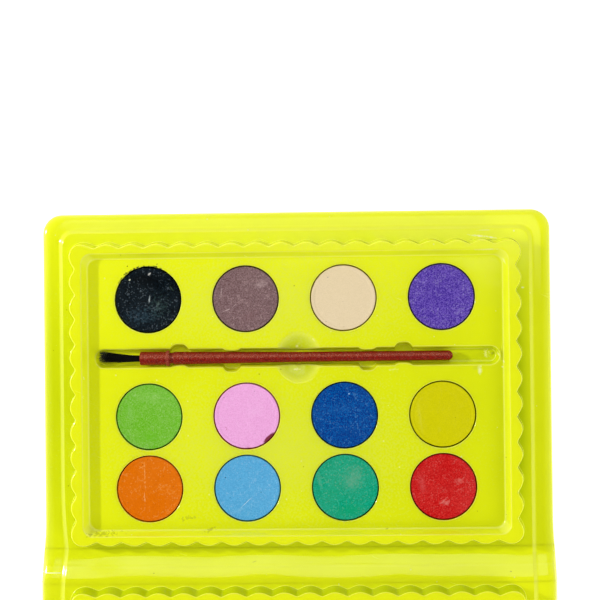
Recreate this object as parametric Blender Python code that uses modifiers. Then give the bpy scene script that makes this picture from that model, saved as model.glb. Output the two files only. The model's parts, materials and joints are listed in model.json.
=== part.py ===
"""A children's art set: a thin lime plastic case that folds like a book. One half holds round paint tablets
and a brush, and the other holds fibre pens and wax crayons.

Units are metres and +Z is up. The case lies open on a flat surface with its fold along X. The origin is on
that surface, under the middle of the spine. Angles are in radians.
"""

import math

import bmesh
import bpy

MM = 0.001
MERGE = 0.001 * MM

# Formed sheet, and the clearances that every seated piece keeps
SHEET = 0.8 * MM
SEAT_GAP = 0.3 * MM
CREASE_GAP = 0.4 * MM
SHUT_GAP = 0.4 * MM

# Scalloped frame of each half, which is as long and as wide as what it holds needs
FRAME_HEIGHT = 8.0 * MM
FRAME_DRAFT = 1.4 * MM
FRAME_CORNER = 6.5 * MM
SCALLOP_PITCH = 11.5 * MM
SCALLOP_DEPTH_SHORT_SIDE = 2.4 * MM
SCALLOP_DEPTH_LONG_SIDE = 1.8 * MM
CORNER_LOBE = 11.5 * MM
SCALLOP_STEPS = 4
CORNER_STEPS = 5

# Shallow recess inside the frame
BORDER_SHORT_SIDE = 5.5 * MM
BORDER_LONG_SIDE = 4.3 * MM
RECESS_DEPTH = 4.3 * MM
RECESS_SLOPE = 2.3 * MM
RECESS_CORNER = 4.6 * MM

# Ledge round the frame, the step down from it and the rolled rim
LEDGE_SHORT_SIDE = 4.6 * MM
LEDGE_FAR_SIDE = 5.2 * MM
LEDGE_CORNER = 6.0 * MM
FOLD_SETBACK = 1.05 * MM
PAINT_LEDGE_HEIGHT = 3.2 * MM
TOOL_LEDGE_HEIGHT = 6.2 * MM
STEP_DROP = 1.1 * MM
STEP_RUN = 0.6 * MM
RIM_WIDTH = 8.0 * MM
RIM_CORNER = 9.0 * MM
ROLL_WIDTH = 3.0 * MM
ROLL_KNEE_SHARE = 0.3
SPINE_TABLE_GAP = 0.3 * MM

# Paint tablets and their wells
TABLET_RADIUS = 15.0 * MM
TABLET_THICKNESS = 5.6 * MM
TABLET_CHAMFER = 0.5 * MM
TABLET_SIDES = 24
WELL_DRAFT = 0.2 * MM
COLUMN_SPACING = 15.3 * MM
COLUMN_MARGIN = 3.0 * MM
ROW_SPACING = 3.4 * MM
ROW_MARGIN_NEAR = 4.05 * MM
ROW_MARGIN_FAR = 4.15 * MM

# Brush: a turned plastic handle with a tuft in its socket, along X
TUFT_LENGTH = 19.0 * MM
TUFT_ROOT_RADIUS = 1.3 * MM
TUFT_TIP_RADIUS = 2.7 * MM
TUFT_DOME = 2.0 * MM
TUFT_LEAN = 0.8 * MM
TUFT_LIFT = 0.4 * MM
TUFT_SLICE_RIM = 0.2 * MM
TUFT_SLICE = 1.2 * MM
TUFT_SIDES = 24
STRAND_PITCH = 0.138 * MM
STRAND_RADIUS = 0.052 * MM
STRAND_TIP_SHARE = 0.6
STRAND_SIDES = 3
HANDLE_LENGTH = 145.0 * MM
GRIP_LENGTH = 11.8 * MM
GRIP_RADIUS = 3.15 * MM
COLLAR_LENGTH = 1.6 * MM
COLLAR_PROUD = 0.55 * MM
NECK_LENGTH = 1.2 * MM
NECK_RADIUS = 2.6 * MM
SHAFT_FRONT_RADIUS = 3.05 * MM
SHAFT_MIDDLE_RADIUS = 2.4 * MM
SHAFT_END_RADIUS = 2.3 * MM
HANDLE_ROUNDING = 0.5 * MM
HANDLE_SIDES = 16

# Groove that holds the brush, with its snap lobes and the finger dip across it
GROOVE_SIDE_ROOM = 0.6 * MM
GROOVE_DEPTH = 4.5 * MM
GROOVE_DRAFT = 0.5 * MM
GROOVE_TAIL = 22.0 * MM
GROOVE_TIP_ROOM = 1.2 * MM
GROOVE_TIP_MARGIN = 3.4 * MM
GROOVE_TAIL_MARGIN = 1.6 * MM
GROOVE_MARGIN_NEAR = 7.2 * MM
GROOVE_MARGIN_FAR = 8.5 * MM
GROOVE_END_STEPS = 8
LOBE_LENGTH = 8.4 * MM
LOBE_OUT = 2.0 * MM
LOBE_IN = 0.8 * MM
LOBE_STEPS = 6
LOBE_PLACE_SHARES = (0.13, 0.298, 0.732, 0.847)
LOBE_SIGNS = (1, -1, -1, 1)
DIP_PLACE_SHARE = 0.512
DIP_HALF_LENGTH = 10.6 * MM
DIP_HALF_WIDTH = 11.9 * MM
DIP_SLOPE = 3.4 * MM
DIP_STEPS = 8

# Fibre pens, side by side along Y, cap ends towards the fold
PEN_COUNT = 12
PEN_LENGTH = 112.0 * MM
PEN_RADIUS = 4.3 * MM
PEN_SPACING = 0.35 * MM
PEN_CAP_LENGTH = 36.0 * MM
PEN_WALL = 0.9 * MM
PEN_CAP_ROUNDING = 0.7 * MM
PEN_PLUG_LENGTH = 3.0 * MM
PEN_PLUG_INSET = 0.4 * MM
PEN_NECK_LENGTH = 9.0 * MM
PEN_NOSE_LENGTH = 8.0 * MM
PEN_NOSE_RADIUS = 1.6 * MM
PEN_NIB_LENGTH = 4.0 * MM
PEN_NIB_RADIUS = 0.9 * MM
PEN_SIDES = 10

# Wax crayons, in two rows along Y, points towards the fold
CRAYON_ROWS = 2
CRAYONS_PER_ROW = 6
CRAYON_LENGTH = 56.0 * MM
CRAYON_RADIUS = 4.0 * MM
CRAYON_SPACING = 0.35 * MM
CRAYON_ROW_GAP = 1.0 * MM
CRAYON_POINT_LENGTH = 8.0 * MM
CRAYON_POINT_RADIUS = 1.5 * MM
CRAYON_SHOULDER = 0.7 * MM
CRAYON_SIDES = 10

# Compartments of the tool half, with finger bays in their sides
COMPARTMENT_DRAFT = 0.4 * MM
COMPARTMENT_CORNER = 1.2 * MM
COMPARTMENT_END_ROOM = 1.0 * MM
COMPARTMENT_CORNER_STEPS = 3
COMPARTMENT_SIDE_MARGIN = 6.0 * MM
COMPARTMENT_END_MARGIN = 5.0 * MM
BAY_RADIUS = 9.0 * MM
BAY_WALL = 2.0 * MM
BAY_STEPS = 8

COLOURS = {
    "black": (30, 34, 44),
    "brown": (123, 96, 98),
    "cream": (250, 217, 176),
    "violet": (88, 55, 160),
    "green": (110, 185, 50),
    "pink": (245, 145, 205),
    "blue": (20, 80, 150),
    "yellow": (222, 200, 30),
    "orange": (238, 118, 20),
    "sky_blue": (85, 165, 215),
    "emerald": (35, 155, 110),
    "red": (225, 45, 60),
}
TABLET_COLOURS = (
    ("black", "brown", "cream", "violet"),
    ("green", "pink", "blue", "yellow"),
    ("orange", "sky_blue", "emerald", "red"),
)
LIME = (225, 236, 35)
MAROON = (140, 36, 26)
BRISTLE_BLACK = (18, 18, 20)
BARREL_WHITE = (238, 238, 234)

# Space that the brush and its groove need
COLLAR_RADIUS = GRIP_RADIUS + COLLAR_PROUD
TUFT_SLICE_RADIUS = TUFT_ROOT_RADIUS + TUFT_SLICE_RIM
GROOVE_HALF_WIDTH = max(
    COLLAR_RADIUS + GROOVE_SIDE_ROOM,
    SHAFT_FRONT_RADIUS + LOBE_IN + SEAT_GAP,
    TUFT_TIP_RADIUS + TUFT_LEAN + SEAT_GAP,
)
GROOVE_LENGTH = GROOVE_TIP_ROOM + TUFT_LENGTH + HANDLE_LENGTH + GROOVE_TAIL

# Space that the pens and the crayons need at the floor of their compartments
PEN_ROOM_X = PEN_COUNT * (2 * PEN_RADIUS + PEN_SPACING) - PEN_SPACING + 2 * SEAT_GAP
PEN_ROOM_Y = PEN_LENGTH + 2 * COMPARTMENT_END_ROOM
CRAYON_ROOM_X = CRAYONS_PER_ROW * (2 * CRAYON_RADIUS + CRAYON_SPACING) - CRAYON_SPACING + 2 * SEAT_GAP
CRAYON_ROOM_Y = CRAYON_ROWS * (CRAYON_LENGTH + CRAYON_ROW_GAP) - CRAYON_ROW_GAP + 2 * COMPARTMENT_END_ROOM

# Recess floor, shared by both halves, and the outlines that follow from it
COLUMN_PITCH = 2 * TABLET_RADIUS + COLUMN_SPACING
COLUMN_COUNT = len(TABLET_COLOURS[0])
FLOOR_HALF_X = max(
    GROOVE_TIP_MARGIN + GROOVE_LENGTH + GROOVE_TAIL_MARGIN,
    COLUMN_COUNT * COLUMN_PITCH - COLUMN_SPACING + 2 * COLUMN_MARGIN,
    PEN_ROOM_X + CRAYON_ROOM_X + 2 * (BAY_RADIUS + COMPARTMENT_SIDE_MARGIN) + BAY_WALL,
) / 2
LOWER_ROWS = 2 * (2 * TABLET_RADIUS) + ROW_SPACING
GROOVE_BAND = GROOVE_MARGIN_NEAR + 2 * GROOVE_HALF_WIDTH + GROOVE_MARGIN_FAR
FLOOR_HALF_Y = max(
    ROW_MARGIN_NEAR + LOWER_ROWS + GROOVE_BAND + 2 * TABLET_RADIUS + ROW_MARGIN_FAR,
    max(PEN_ROOM_Y, CRAYON_ROOM_Y) + 2 * COMPARTMENT_END_MARGIN,
) / 2
LIP_HALF_X = FLOOR_HALF_X + RECESS_SLOPE
LIP_HALF_Y = FLOOR_HALF_Y + RECESS_SLOPE
FRAME_HALF_X = LIP_HALF_X + BORDER_SHORT_SIDE
FRAME_HALF_Y = LIP_HALF_Y + BORDER_LONG_SIDE
FOOT_HALF_X = FRAME_HALF_X + FRAME_DRAFT
FOOT_HALF_Y = FRAME_HALF_Y + FRAME_DRAFT

# Places in the paint half's recess, from its middle
LOWER_ROW = ROW_MARGIN_NEAR + TABLET_RADIUS - FLOOR_HALF_Y
MIDDLE_ROW = LOWER_ROW + 2 * TABLET_RADIUS + ROW_SPACING
BRUSH_LINE = MIDDLE_ROW + TABLET_RADIUS + GROOVE_MARGIN_NEAR + GROOVE_HALF_WIDTH
UPPER_ROW = BRUSH_LINE + GROOVE_HALF_WIDTH + GROOVE_MARGIN_FAR + TABLET_RADIUS
GROOVE_START = GROOVE_TIP_MARGIN - FLOOR_HALF_X
HANDLE_START = GROOVE_START + GROOVE_TIP_ROOM + TUFT_LENGTH

# Ledges, folds and spine
LEDGE_HALF_X = FOOT_HALF_X + LEDGE_SHORT_SIDE
LEDGE_FAR_Y = FOOT_HALF_Y + LEDGE_FAR_SIDE
FOLD_FROM_CENTRE = FOOT_HALF_Y + FOLD_SETBACK
FLOOR_ABOVE_LEDGE = FRAME_HEIGHT - RECESS_DEPTH
SPINE_LENGTH = 2 * FRAME_HEIGHT + SHUT_GAP
SPINE_RISE = TOOL_LEDGE_HEIGHT - PAINT_LEDGE_HEIGHT
SPINE_RUN = math.sqrt(SPINE_LENGTH**2 - SPINE_RISE**2)
TRAY_CENTRE_Y = SPINE_RUN / 2 + FOLD_FROM_CENTRE


def colour_of(srgb):
    """Linear RGBA of an sRGB colour given in steps of 1/255."""
    linear = []
    for step in srgb:
        share = step / 255
        linear.append(share / 12.92 if share <= 0.04045 else ((share + 0.055) / 1.055) ** 2.4)
    return (*linear, 1.0)


def material(name, srgb, roughness, metallic=0.0):
    """A Principled BSDF in one colour, made once for each name."""
    found = bpy.data.materials.get(name)
    if found:
        return found
    made = bpy.data.materials.new(name)
    made.use_nodes = True
    shader = made.node_tree.nodes["Principled BSDF"]
    shader.inputs["Base Color"].default_value = colour_of(srgb)
    shader.inputs["Roughness"].default_value = roughness
    shader.inputs["Metallic"].default_value = metallic
    made.diffuse_color = colour_of(srgb)
    return made


def collection(name):
    """A collection in the scene."""
    made = bpy.data.collections.new(name)
    bpy.context.scene.collection.children.link(made)
    return made


def empty(group, name, place, parent=None):
    """An empty on a joint's axis."""
    made = bpy.data.objects.new(name, None)
    made.empty_display_size = FRAME_HEIGHT
    group.objects.link(made)
    seat(made, place, parent)
    return made


def seat(obj, place, parent=None):
    """Puts an object at a place in the world, under a parent that may have been moved but not turned."""
    origin = (0.0, 0.0, 0.0)
    above = parent
    while above:
        origin = tuple(a + b for a, b in zip(origin, above.location))
        above = above.parent
    obj.parent = parent
    obj.location = tuple(a - b for a, b in zip(place, origin))


def add_object(group, name, mesh, finish):
    """An object of its own for a mesh, with its material."""
    obj = bpy.data.objects.new(name, mesh)
    if not mesh.materials:
        mesh.materials.append(finish)
    group.objects.link(obj)
    return obj


# Outlines, each counter-clockwise from its first point


def arc(centre, radius_x, radius_y, start, end, steps):
    """Points along an ellipse's arc, both ends among them."""
    points = []
    for i in range(steps + 1):
        angle = start + (end - start) * i / steps
        points.append((centre[0] + radius_x * math.cos(angle), centre[1] + radius_y * math.sin(angle)))
    return points


def circle(centre, radius, sides):
    """A regular outline about a centre."""
    return arc(centre, radius, radius, 0, math.tau * (1 - 1 / sides), sides - 1)


def rounded_rectangle(half_x, half_y, radius, steps):
    """A rectangle about the origin with round corners."""
    points = []
    for quarter, (side_x, side_y) in enumerate(((1, 1), (-1, 1), (-1, -1), (1, -1))):
        centre = (side_x * (half_x - radius), side_y * (half_y - radius))
        start = quarter * math.pi / 2
        points += arc(centre, radius, radius, start, start + math.pi / 2, steps)
    return points


def ledge_outline(half_x, far_y, radius):
    """The ledge's edge from the fold, up one side, round the far corners and back to the fold."""
    points = [(half_x, -FOLD_FROM_CENTRE + CREASE_GAP / 2)]
    points += arc((half_x - radius, far_y - radius), radius, radius, 0, math.pi / 2, CORNER_STEPS)
    points += arc((radius - half_x, far_y - radius), radius, radius, math.pi / 2, math.pi, CORNER_STEPS)
    points.append((-half_x, -FOLD_FROM_CENTRE + CREASE_GAP / 2))
    return points


def scallop_side(length, depth):
    """One side's scallops: pairs of a place along the side, from its middle, and a depth below the crests."""
    run = length - 2 * CORNER_LOBE
    count = max(1, round(run / SCALLOP_PITCH))
    pairs = []
    for i in range(count * SCALLOP_STEPS + 1):
        share = i / SCALLOP_STEPS
        pairs.append((-run / 2 + run * share / count, depth * (1 - abs(math.sin(math.pi * share)))))
    return pairs


def scalloped_outline(half_x, half_y):
    """The frame's outline: scallops along each side and a round lobe on each corner."""
    long_side = scallop_side(2 * FRAME_HALF_X, SCALLOP_DEPTH_LONG_SIDE)
    short_side = scallop_side(2 * FRAME_HALF_Y, SCALLOP_DEPTH_SHORT_SIDE)
    corner_x = half_x - FRAME_CORNER
    corner_y = half_y - FRAME_CORNER
    corners = (
        arc((corner_x, corner_y), FRAME_CORNER, FRAME_CORNER, 0, math.pi / 2, CORNER_STEPS),
        arc((-corner_x, corner_y), FRAME_CORNER, FRAME_CORNER, math.pi / 2, math.pi, CORNER_STEPS),
        arc((-corner_x, -corner_y), FRAME_CORNER, FRAME_CORNER, math.pi, 3 * math.pi / 2, CORNER_STEPS),
        arc((corner_x, -corner_y), FRAME_CORNER, FRAME_CORNER, 3 * math.pi / 2, 2 * math.pi, CORNER_STEPS),
    )
    right = [(half_x - depth, place) for place, depth in short_side]
    far = [(-place, half_y - depth) for place, depth in long_side]
    left = [(depth - half_x, -place) for place, depth in short_side]
    near = [(place, depth - half_y) for place, depth in long_side]
    return right + corners[0] + far + corners[1] + left + corners[2] + near + corners[3]


def groove_outline(grow, depth_share):
    """The brush groove at a share of its depth, with its snap lobes and finger dip, grown by an offset."""
    half = GROOVE_HALF_WIDTH - GROOVE_DRAFT * depth_share + grow
    left = GROOVE_START + GROOVE_HALF_WIDTH
    right = GROOVE_START + GROOVE_LENGTH - GROOVE_HALF_WIDTH
    dip_place = HANDLE_START + HANDLE_LENGTH * DIP_PLACE_SHARE
    dip_x = DIP_HALF_LENGTH - DIP_SLOPE * depth_share + grow
    dip_y = DIP_HALF_WIDTH - DIP_SLOPE * depth_share + grow
    dip_start = math.asin(half / dip_y)

    def edge(side):
        points = []
        for place_share, sign in zip(LOBE_PLACE_SHARES, LOBE_SIGNS):
            place = HANDLE_START + HANDLE_LENGTH * place_share
            reach = LOBE_OUT if sign * side > 0 else -LOBE_IN
            lobe = []
            for i in range(LOBE_STEPS + 1):
                share = i / LOBE_STEPS
                across = half + reach * math.sin(math.pi * share) ** 2
                lobe.append((place + LOBE_LENGTH * (share - 1 / 2), side * across))
            points.append(lobe)
        dip = arc((dip_place, 0), dip_x, side * dip_y, math.pi - dip_start, dip_start, DIP_STEPS)
        return points[0] + points[1] + dip + points[2] + points[3]

    near_end = arc((right, 0), half, half, -math.pi / 2, math.pi / 2, GROOVE_END_STEPS)
    far_end = arc((left, 0), half, half, math.pi / 2, 3 * math.pi / 2, GROOVE_END_STEPS)
    points = near_end + edge(1)[::-1] + far_end + edge(-1)
    return [(x, y + BRUSH_LINE) for x, y in points]


def compartment_outline(middle_x, room_x, room_y, bay_side, bay_places, grow):
    """A rectangular compartment with half-round finger bays in one long side."""
    half_x = room_x / 2 + grow
    half_y = room_y / 2 + grow
    points = []
    for place in bay_places:
        radius = BAY_RADIUS + grow
        points += arc((half_x, place), radius, radius, -math.pi / 2, math.pi / 2, BAY_STEPS)
    points += rounded_rectangle(half_x, half_y, COMPARTMENT_CORNER + grow, COMPARTMENT_CORNER_STEPS)
    if bay_side < 0:
        points = [(-x, y) for x, y in points][::-1]
    return [(x + middle_x, y) for x, y in points]


# Rings of vertices, and the sheet that is drawn from them


def ring_edges(bm, ring, closed=True):
    """The edges between a ring's vertices in order, made where they are missing."""
    ends = ring[1:] + ring[:1] if closed else ring[1:]
    return [bm.edges.get(pair) or bm.edges.new(pair) for pair in zip(ring, ends)]


def add_ring(bm, points, height):
    """A closed ring of vertices and edges at a height."""
    ring = [bm.verts.new((x, y, height)) for x, y in points]
    ring_edges(bm, ring)
    return ring


def draw_ring(bm, ring, points, height, closed=True):
    """Extrudes a ring and carries its new vertices, in order, to the points at a height."""
    grown = bmesh.ops.extrude_edge_only(bm, edges=ring_edges(bm, ring, closed))["geom"]
    fresh = {tuple(v.co): v for v in grown if isinstance(v, bmesh.types.BMVert)}
    drawn = [fresh[tuple(v.co)] for v in ring]
    for vert, (x, y) in zip(drawn, points):
        vert.co = (x, y, height)
    return drawn


def fill(bm, rings):
    """Fills the flat region inside the first ring and outside the others."""
    edges = [edge for ring in rings for edge in ring_edges(bm, ring)]
    bmesh.ops.triangle_fill(bm, edges=edges, use_beauty=True, normal=(0, 0, 1))


def rim_profile(ledge_height, inset):
    """The step, rim and rolled edge: pairs of a distance outside the ledge and a height above it."""
    roll_drop = ledge_height - STEP_DROP
    return (
        (STEP_RUN - inset, -STEP_DROP - inset),
        (RIM_WIDTH - ROLL_WIDTH - inset * ROLL_KNEE_SHARE, -STEP_DROP - inset),
        (
            RIM_WIDTH - ROLL_WIDTH * ROLL_KNEE_SHARE - inset * (1 - ROLL_KNEE_SHARE),
            -STEP_DROP - min(roll_drop, ROLL_WIDTH) * ROLL_KNEE_SHARE - inset * (1 - ROLL_KNEE_SHARE),
        ),
        (RIM_WIDTH - inset, -STEP_DROP - min(roll_drop, ROLL_WIDTH)),
        (RIM_WIDTH - inset, -ledge_height),
    )[: 5 if roll_drop > ROLL_WIDTH else 4]


def sheet_face(bm, ledge_height, pockets, inset):
    """One face of a half's sheet: the upper one, or, with an inset of one sheet, the lower one.

    A pocket is a pair of a function from an offset and a share of the depth to an outline, and a depth.
    """
    ledge_z = ledge_height - inset
    top_z = ledge_height + FRAME_HEIGHT - inset
    floor_z = ledge_height + FLOOR_ABOVE_LEDGE - inset
    ledge_x = LEDGE_HALF_X - inset
    ledge_y = LEDGE_FAR_Y - inset
    ledge = add_ring(bm, ledge_outline(ledge_x, ledge_y, LEDGE_CORNER - inset), ledge_z)
    foot = add_ring(bm, scalloped_outline(FOOT_HALF_X - inset, FOOT_HALF_Y - inset), ledge_z)
    fill(bm, (ledge, foot))
    crest = draw_ring(bm, foot, scalloped_outline(FRAME_HALF_X - inset, FRAME_HALF_Y - inset), top_z)
    radius = RECESS_CORNER + inset
    lip_points = rounded_rectangle(LIP_HALF_X + inset, LIP_HALF_Y + inset, radius, CORNER_STEPS)
    lip = add_ring(bm, lip_points, top_z)
    fill(bm, (crest, lip))
    floor_points = rounded_rectangle(FLOOR_HALF_X + inset, FLOOR_HALF_Y + inset, radius, CORNER_STEPS)
    floor = draw_ring(bm, lip, floor_points, floor_z)
    mouths = []
    for outline, depth in pockets:
        mouth = add_ring(bm, outline(inset, 0), floor_z)
        fill(bm, (draw_ring(bm, mouth, outline(inset, 1), floor_z - depth),))
        mouths.append(mouth)
    fill(bm, (floor, *mouths))
    chain = ledge
    for out, drop in rim_profile(ledge_height, inset):
        radius = LEDGE_CORNER + (RIM_CORNER - LEDGE_CORNER) * out / RIM_WIDTH
        points = ledge_outline(LEDGE_HALF_X + out, LEDGE_FAR_Y + out, radius)
        chain = draw_ring(bm, chain, points, ledge_height + drop, closed=False)


def close_sheet(bm, name):
    """Joins the two faces along their edge and returns the closed mesh."""
    border = [edge for edge in bm.edges if edge.is_boundary]
    bmesh.ops.bridge_loops(bm, edges=border)
    bmesh.ops.recalc_face_normals(bm, faces=bm.faces)
    mesh = bpy.data.meshes.new(name)
    bm.to_mesh(mesh)
    bm.free()
    return mesh


def make_tray(group, name, ledge_height, pockets):
    """One half of the case: a sheet with its pockets, drawn about the middle of its recess."""
    bm = bmesh.new()
    sheet_face(bm, ledge_height, pockets, 0.0)
    sheet_face(bm, ledge_height, pockets, SHEET)
    return add_object(group, name, close_sheet(bm, name), material("lime_plastic", LIME, 0.28))


# Paint half


def tablet_places():
    """Each tablet's colour and its place in the recess."""
    for row, colours in zip((UPPER_ROW, MIDDLE_ROW, LOWER_ROW), TABLET_COLOURS):
        for column, colour in enumerate(colours):
            yield colour, ((column - (COLUMN_COUNT - 1) / 2) * COLUMN_PITCH, row)


def well(place):
    """A round well for a tablet at a place."""

    def outline(grow, depth_share):
        return circle(place, TABLET_RADIUS + SEAT_GAP + WELL_DRAFT * (1 - depth_share) + grow, TABLET_SIDES)

    return outline


def make_paint_tray(group):
    """The half with the tablets' wells and the brush groove."""
    floor_height = PAINT_LEDGE_HEIGHT + FLOOR_ABOVE_LEDGE
    pockets = [(well(place), floor_height - SHEET) for _, place in tablet_places()]
    pockets.append((groove_outline, GROOVE_DEPTH))
    return make_tray(group, "paint_tray", PAINT_LEDGE_HEIGHT, pockets)


def turned(name, profile, sides):
    """A mesh with a profile that the caller's object turns about its own Z axis."""
    mesh = bpy.data.meshes.new(name)
    edges = [(i, i + 1) for i in range(len(profile) - 1)]
    mesh.from_pydata([(radius, 0.0, height) for radius, height in profile], edges, [])
    mesh["sides"] = sides
    return mesh


def add_turned(group, name, mesh, finish):
    """An object for a turned mesh, with its Screw modifier."""
    obj = add_object(group, name, mesh, finish)
    screw = obj.modifiers.new("turn", "SCREW")
    screw.steps = mesh["sides"]
    screw.render_steps = mesh["sides"]
    screw.use_merge_vertices = True
    screw.merge_threshold = MERGE
    screw.use_smooth_shade = True
    return obj


def make_tablets(group, parent):
    """The tablets in their wells, each a pressed disc with a chamfered top edge."""
    profile = (
        (0.0, TABLET_THICKNESS),
        (TABLET_RADIUS - TABLET_CHAMFER, TABLET_THICKNESS),
        (TABLET_RADIUS, TABLET_THICKNESS - TABLET_CHAMFER),
        (TABLET_RADIUS, 0.0),
        (0.0, 0.0),
    )
    for colour, (x, y) in tablet_places():
        mesh = turned(f"tablet_{colour}", profile, TABLET_SIDES)
        obj = add_turned(group, f"tablet_{colour}", mesh, material(f"paint_{colour}", COLOURS[colour], 0.85))
        seat(obj, (x, TRAY_CENTRE_Y + y, SHEET + SEAT_GAP), parent)


def handle_profile():
    """The handle's radius and its distance from the front end, listed from the front end, socket first."""
    socket = TUFT_SLICE_RADIUS + SEAT_GAP
    depth = TUFT_SLICE + SEAT_GAP
    neck = GRIP_LENGTH + COLLAR_LENGTH
    shaft = neck + NECK_LENGTH
    dome_share = math.sqrt(1 / 2)
    return (
        (0.0, depth),
        (socket, depth),
        (socket, 0.0),
        (GRIP_RADIUS - HANDLE_ROUNDING, 0.0),
        (GRIP_RADIUS, HANDLE_ROUNDING),
        (GRIP_RADIUS, GRIP_LENGTH),
        (COLLAR_RADIUS, GRIP_LENGTH),
        (COLLAR_RADIUS, neck),
        (NECK_RADIUS, neck),
        (NECK_RADIUS, shaft),
        (SHAFT_FRONT_RADIUS, shaft + NECK_LENGTH),
        (SHAFT_MIDDLE_RADIUS, HANDLE_LENGTH / 2),
        (SHAFT_END_RADIUS, HANDLE_LENGTH - SHAFT_END_RADIUS),
        (SHAFT_END_RADIUS * dome_share, HANDLE_LENGTH - SHAFT_END_RADIUS * (1 - dome_share)),
        (0.0, HANDLE_LENGTH),
    )


def strand_roots():
    """The middle of each strand where it leaves the slice, on a grid of even triangles."""
    rounds = math.ceil(2 * TUFT_ROOT_RADIUS / STRAND_PITCH)
    for row in range(-rounds, rounds + 1):
        for column in range(-rounds, rounds + 1):
            x = STRAND_PITCH * (column + row / 2)
            y = STRAND_PITCH * row * math.sqrt(3) / 2
            if math.hypot(x, y) < TUFT_ROOT_RADIUS - STRAND_RADIUS:
                yield x, y


def make_tuft_mesh():
    """The tuft about Z: a slice of its backing below zero, and strands that spread without crossing."""
    bm = bmesh.new()
    slice_outline = circle((0.0, 0.0), TUFT_SLICE_RADIUS, TUFT_SIDES)
    rear = add_ring(bm, slice_outline, -TUFT_SLICE)
    fill(bm, (rear,))
    front = draw_ring(bm, rear, slice_outline, 0.0)
    places = list(strand_roots())
    roots = [add_ring(bm, circle(place, STRAND_RADIUS, STRAND_SIDES), 0.0) for place in places]
    fill(bm, (front, *roots))
    spread = TUFT_TIP_RADIUS / TUFT_ROOT_RADIUS
    for (x, y), root in zip(places, roots):
        tip = (x * spread + TUFT_LIFT, y * spread + TUFT_LEAN)
        dome = TUFT_DOME * (x * x + y * y) / TUFT_ROOT_RADIUS**2
        outline = circle(tip, STRAND_RADIUS * STRAND_TIP_SHARE, STRAND_SIDES)
        fill(bm, (draw_ring(bm, root, outline, TUFT_LENGTH - dome),))
    bmesh.ops.recalc_face_normals(bm, faces=bm.faces)
    mesh = bpy.data.meshes.new("brush_bristles")
    bm.to_mesh(mesh)
    bm.free()
    return mesh


def make_brush(group, parent):
    """The handle, lying on its collar and its tail end, and the tuft in its socket."""
    groove_floor = PAINT_LEDGE_HEIGHT + FLOOR_ABOVE_LEDGE - GROOVE_DEPTH
    collar_middle = GRIP_LENGTH + COLLAR_LENGTH / 2
    tail = HANDLE_LENGTH - SHAFT_END_RADIUS
    tilt = math.asin((COLLAR_RADIUS - SHAFT_END_RADIUS) / (tail - collar_middle))
    front_z = groove_floor + SEAT_GAP / math.cos(tilt) + COLLAR_RADIUS + collar_middle * math.sin(tilt)
    profile = [(radius, -distance) for radius, distance in handle_profile()]
    handle_mesh = turned("brush_handle", profile, HANDLE_SIDES)
    handle = add_turned(group, "brush_handle", handle_mesh, material("brush_plastic", MAROON, 0.3))
    seat(handle, (HANDLE_START, TRAY_CENTRE_Y + BRUSH_LINE, front_z), parent)
    handle.rotation_euler = (0.0, tilt - math.pi / 2, 0.0)
    tuft = add_object(group, "brush_bristles", make_tuft_mesh(), material("bristle", BRISTLE_BLACK, 0.5))
    tuft.parent = handle


# Tool half


def pen_compartment_x():
    """The middle of the pens' compartment, which stands against the left margin."""
    return COMPARTMENT_SIDE_MARGIN + PEN_ROOM_X / 2 - FLOOR_HALF_X


def crayon_compartment_x():
    """The middle of the crayons' compartment, which stands against the right margin."""
    return FLOOR_HALF_X - COMPARTMENT_SIDE_MARGIN - CRAYON_ROOM_X / 2


def crayon_row_places():
    """The middle of each row of crayons along Y."""
    pitch = CRAYON_LENGTH + CRAYON_ROW_GAP
    return [(row - (CRAYON_ROWS - 1) / 2) * pitch for row in range(CRAYON_ROWS)]


def make_tool_tray(group):
    """The half with the pens' and the crayons' compartments."""
    floor_height = TOOL_LEDGE_HEIGHT + FLOOR_ABOVE_LEDGE

    def pens(grow, depth_share):
        grow += COMPARTMENT_DRAFT * (1 - depth_share)
        return compartment_outline(pen_compartment_x(), PEN_ROOM_X, PEN_ROOM_Y, 1, (0.0,), grow)

    def crayons(grow, depth_share):
        grow += COMPARTMENT_DRAFT * (1 - depth_share)
        rows = crayon_row_places()
        return compartment_outline(crayon_compartment_x(), CRAYON_ROOM_X, CRAYON_ROOM_Y, -1, rows, grow)

    depth = floor_height - SHEET
    return make_tray(group, "tool_tray", TOOL_LEDGE_HEIGHT, ((pens, depth), (crayons, depth)))


def pen_barrel_profile():
    """The pen's barrel with its neck, nose and nib, listed down its outer side from the nib."""
    neck_radius = PEN_RADIUS - PEN_WALL - SEAT_GAP
    shoulder = PEN_LENGTH - PEN_CAP_LENGTH - SEAT_GAP
    neck = shoulder + PEN_NECK_LENGTH
    nose = neck + PEN_NOSE_LENGTH
    return (
        (0.0, nose + PEN_NIB_LENGTH),
        (PEN_NIB_RADIUS, nose + PEN_NIB_LENGTH - PEN_NIB_RADIUS),
        (PEN_NIB_RADIUS, nose),
        (PEN_NOSE_RADIUS, nose),
        (neck_radius, neck),
        (neck_radius, shoulder),
        (PEN_RADIUS, shoulder),
        (PEN_RADIUS, PEN_PLUG_LENGTH),
        (PEN_RADIUS - PEN_PLUG_INSET, PEN_PLUG_LENGTH),
        (PEN_RADIUS - PEN_PLUG_INSET, 0.0),
        (0.0, 0.0),
    )


def pen_cap_profile():
    """The cap as a cup, listed from the middle of its closed end down its outer side and up its bore."""
    mouth = PEN_LENGTH - PEN_CAP_LENGTH
    bore = PEN_RADIUS - PEN_WALL
    return (
        (0.0, PEN_LENGTH),
        (PEN_RADIUS - PEN_CAP_ROUNDING, PEN_LENGTH),
        (PEN_RADIUS, PEN_LENGTH - PEN_CAP_ROUNDING),
        (PEN_RADIUS, mouth),
        (bore, mouth),
        (bore, PEN_LENGTH - PEN_WALL),
        (0.0, PEN_LENGTH - PEN_WALL),
    )


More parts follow.
